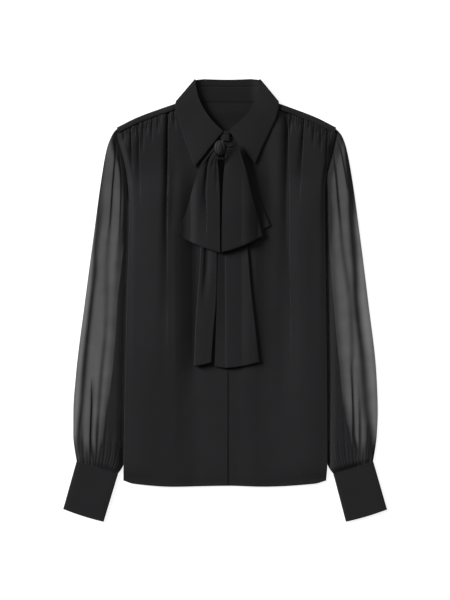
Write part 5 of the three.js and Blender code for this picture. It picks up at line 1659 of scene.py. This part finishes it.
def make_knot():
    turn = np.linspace(0, 2 * math.pi, KNOT_AROUND + 1)[None, :-1]
    polar = np.linspace(POLE_GAP, math.pi - POLE_GAP, KNOT_RINGS)[:, None]
    ring = np.sin(polar) ** KNOT_FULLNESS
    across = np.sign(np.cos(turn)) * np.abs(np.cos(turn)) ** KNOT_SQUARENESS * ring
    along = np.sign(np.sin(turn)) * np.abs(np.sin(turn)) ** KNOT_SQUARENESS * ring
    up = np.cos(polar) * np.ones_like(turn)
    left_fold = 0.10 * bump(across + 0.55 - 0.35 * along**2, 0.10)
    right_fold = 0.12 * bump(across - 0.42 + 0.30 * (along + 0.2) ** 2, 0.09)
    lower_pinch = 0.10 * bump(across, 0.12) * (1 - ease(-0.75, -0.35, along))
    sink = 1 - ease(-0.1, 0.4, up) * (left_fold + right_fold + lower_pinch)
    points = stack(KNOT["x"] + KNOT["half_x"] * across * sink, KNOT["y"] + KNOT["half_y"] * along * sink,
                   KNOT["z"] + KNOT["half_z"] * up * sink)
    flat, quads = close_ball(points)
    return mesh_object("cloth_bow_knot", flat, quads)


knot = make_knot()
dress(knot, "bow_knot", crepe_bow)

# %% [markdown]
# The table
# The blouse lies on a plain white table. A photographer lights such a table from below, so that it
# comes out even and white and throws light back through the sleeves. Here the table gives off some
# light of its own, which does the same and still takes a soft shadow.
# %% Table
TABLE_HALF = 3.0
TABLE_GREY = 0.55
TABLE_GLOW = 0.85
TABLE_DROP = 0.2 * MM


def make_table():
    half = TABLE_HALF / MM
    points = np.array([(-half, -half, 0), (half, -half, 0), (half, half, 0), (-half, half, 0)])
    table_top = mesh_object("table_top", points, np.array([(0, 1, 2, 3)]))
    material = bpy.data.materials.new("pale_table")
    material.use_nodes = True
    shader = material.node_tree.nodes["Principled BSDF"]
    shader.inputs["Base Color"].default_value = (TABLE_GREY, TABLE_GREY, TABLE_GREY, 1)
    shader.inputs["Roughness"].default_value = 0.9
    shader.inputs["Specular IOR Level"].default_value = 0.1
    shader.inputs["Emission Color"].default_value = (1, 1, 1, 1)
    shader.inputs["Emission Strength"].default_value = TABLE_GLOW
    table_top.data.materials.append(material)
    table_top.location.z = -TABLE_DROP


make_table()
print("table:", 2 * TABLE_HALF, "m wide")

# %% [markdown]
# The light
# Black cloth shows its folds only when the light comes from the side. A large softbox low beside the
# right sleeve gives each fold one light and one dark side, and two weak ones, beside the left sleeve
# and past the collar, keep the dark sides from going black. A sun lamp with a wide disc lights every
# place alike, as a softbox does from far off, and an area lamp would light the near sleeve more.
# %% Light
world = bpy.data.worlds.new("studio")
world.use_nodes = True
world.node_tree.nodes["Background"].inputs["Color"].default_value = (1, 1, 1, 1)
world.node_tree.nodes["Background"].inputs["Strength"].default_value = 0.06
bpy.context.scene.world = world


def distant_softbox(name, side, elevation, strength, spread):
    light = bpy.data.lights.new(name, "SUN")
    light.energy = strength
    light.angle = math.radians(spread)
    obj = bpy.data.objects.new(name, light)
    obj.rotation_euler = (math.radians(90 - elevation), 0, math.radians(side))
    bpy.context.scene.collection.objects.link(obj)
    print(name, "at", elevation, "degrees above the table")


distant_softbox("softbox_left", -116, 22, 5.1, 24)
distant_softbox("softbox_right", 112, 24, 0.25, 30)
distant_softbox("softbox_top", 180, 55, 0.3, 30)

# %% [markdown]
# The camera
# The photograph looks straight at the flat garment. So the camera hangs straight above it, as far off
# as the lens needs to see the whole height of the picture. A long lens leans less at the edges than a
# short one, and real cloth a few millimetres thick then shows no sides.
# %% Camera
PHOTO_MM_PER_PIXEL = 1.7
PHOTO_ROWS = 600
VIEW_HEIGHT = PHOTO_ROWS * PHOTO_MM_PER_PIXEL * MM
VIEW_CENTRE_X = -0.2 * MM
FRONT_LEVEL = 4 * MM
LENS_MM = 85
SENSOR_MM = 36
camera_data = bpy.data.cameras.new("photo_camera")
camera_data.lens = LENS_MM
camera_data.sensor_width = SENSOR_MM
camera = bpy.data.objects.new("photo_camera", camera_data)
camera.location = (VIEW_CENTRE_X, 0, VIEW_HEIGHT * LENS_MM / SENSOR_MM + FRONT_LEVEL)
bpy.context.scene.collection.objects.link(camera)
bpy.context.scene.camera = camera
bpy.context.scene.view_settings.view_transform = "Standard"
print("camera height:", round(camera.location.z, 3), "m")

# %% [markdown]
# Bringing the scene up to date
# The view layer is updated once more, so that every piece stands where it was built. The cloth has to
# stay within the space of the plain solids.
# %% Scene update
bpy.context.view_layer.update()
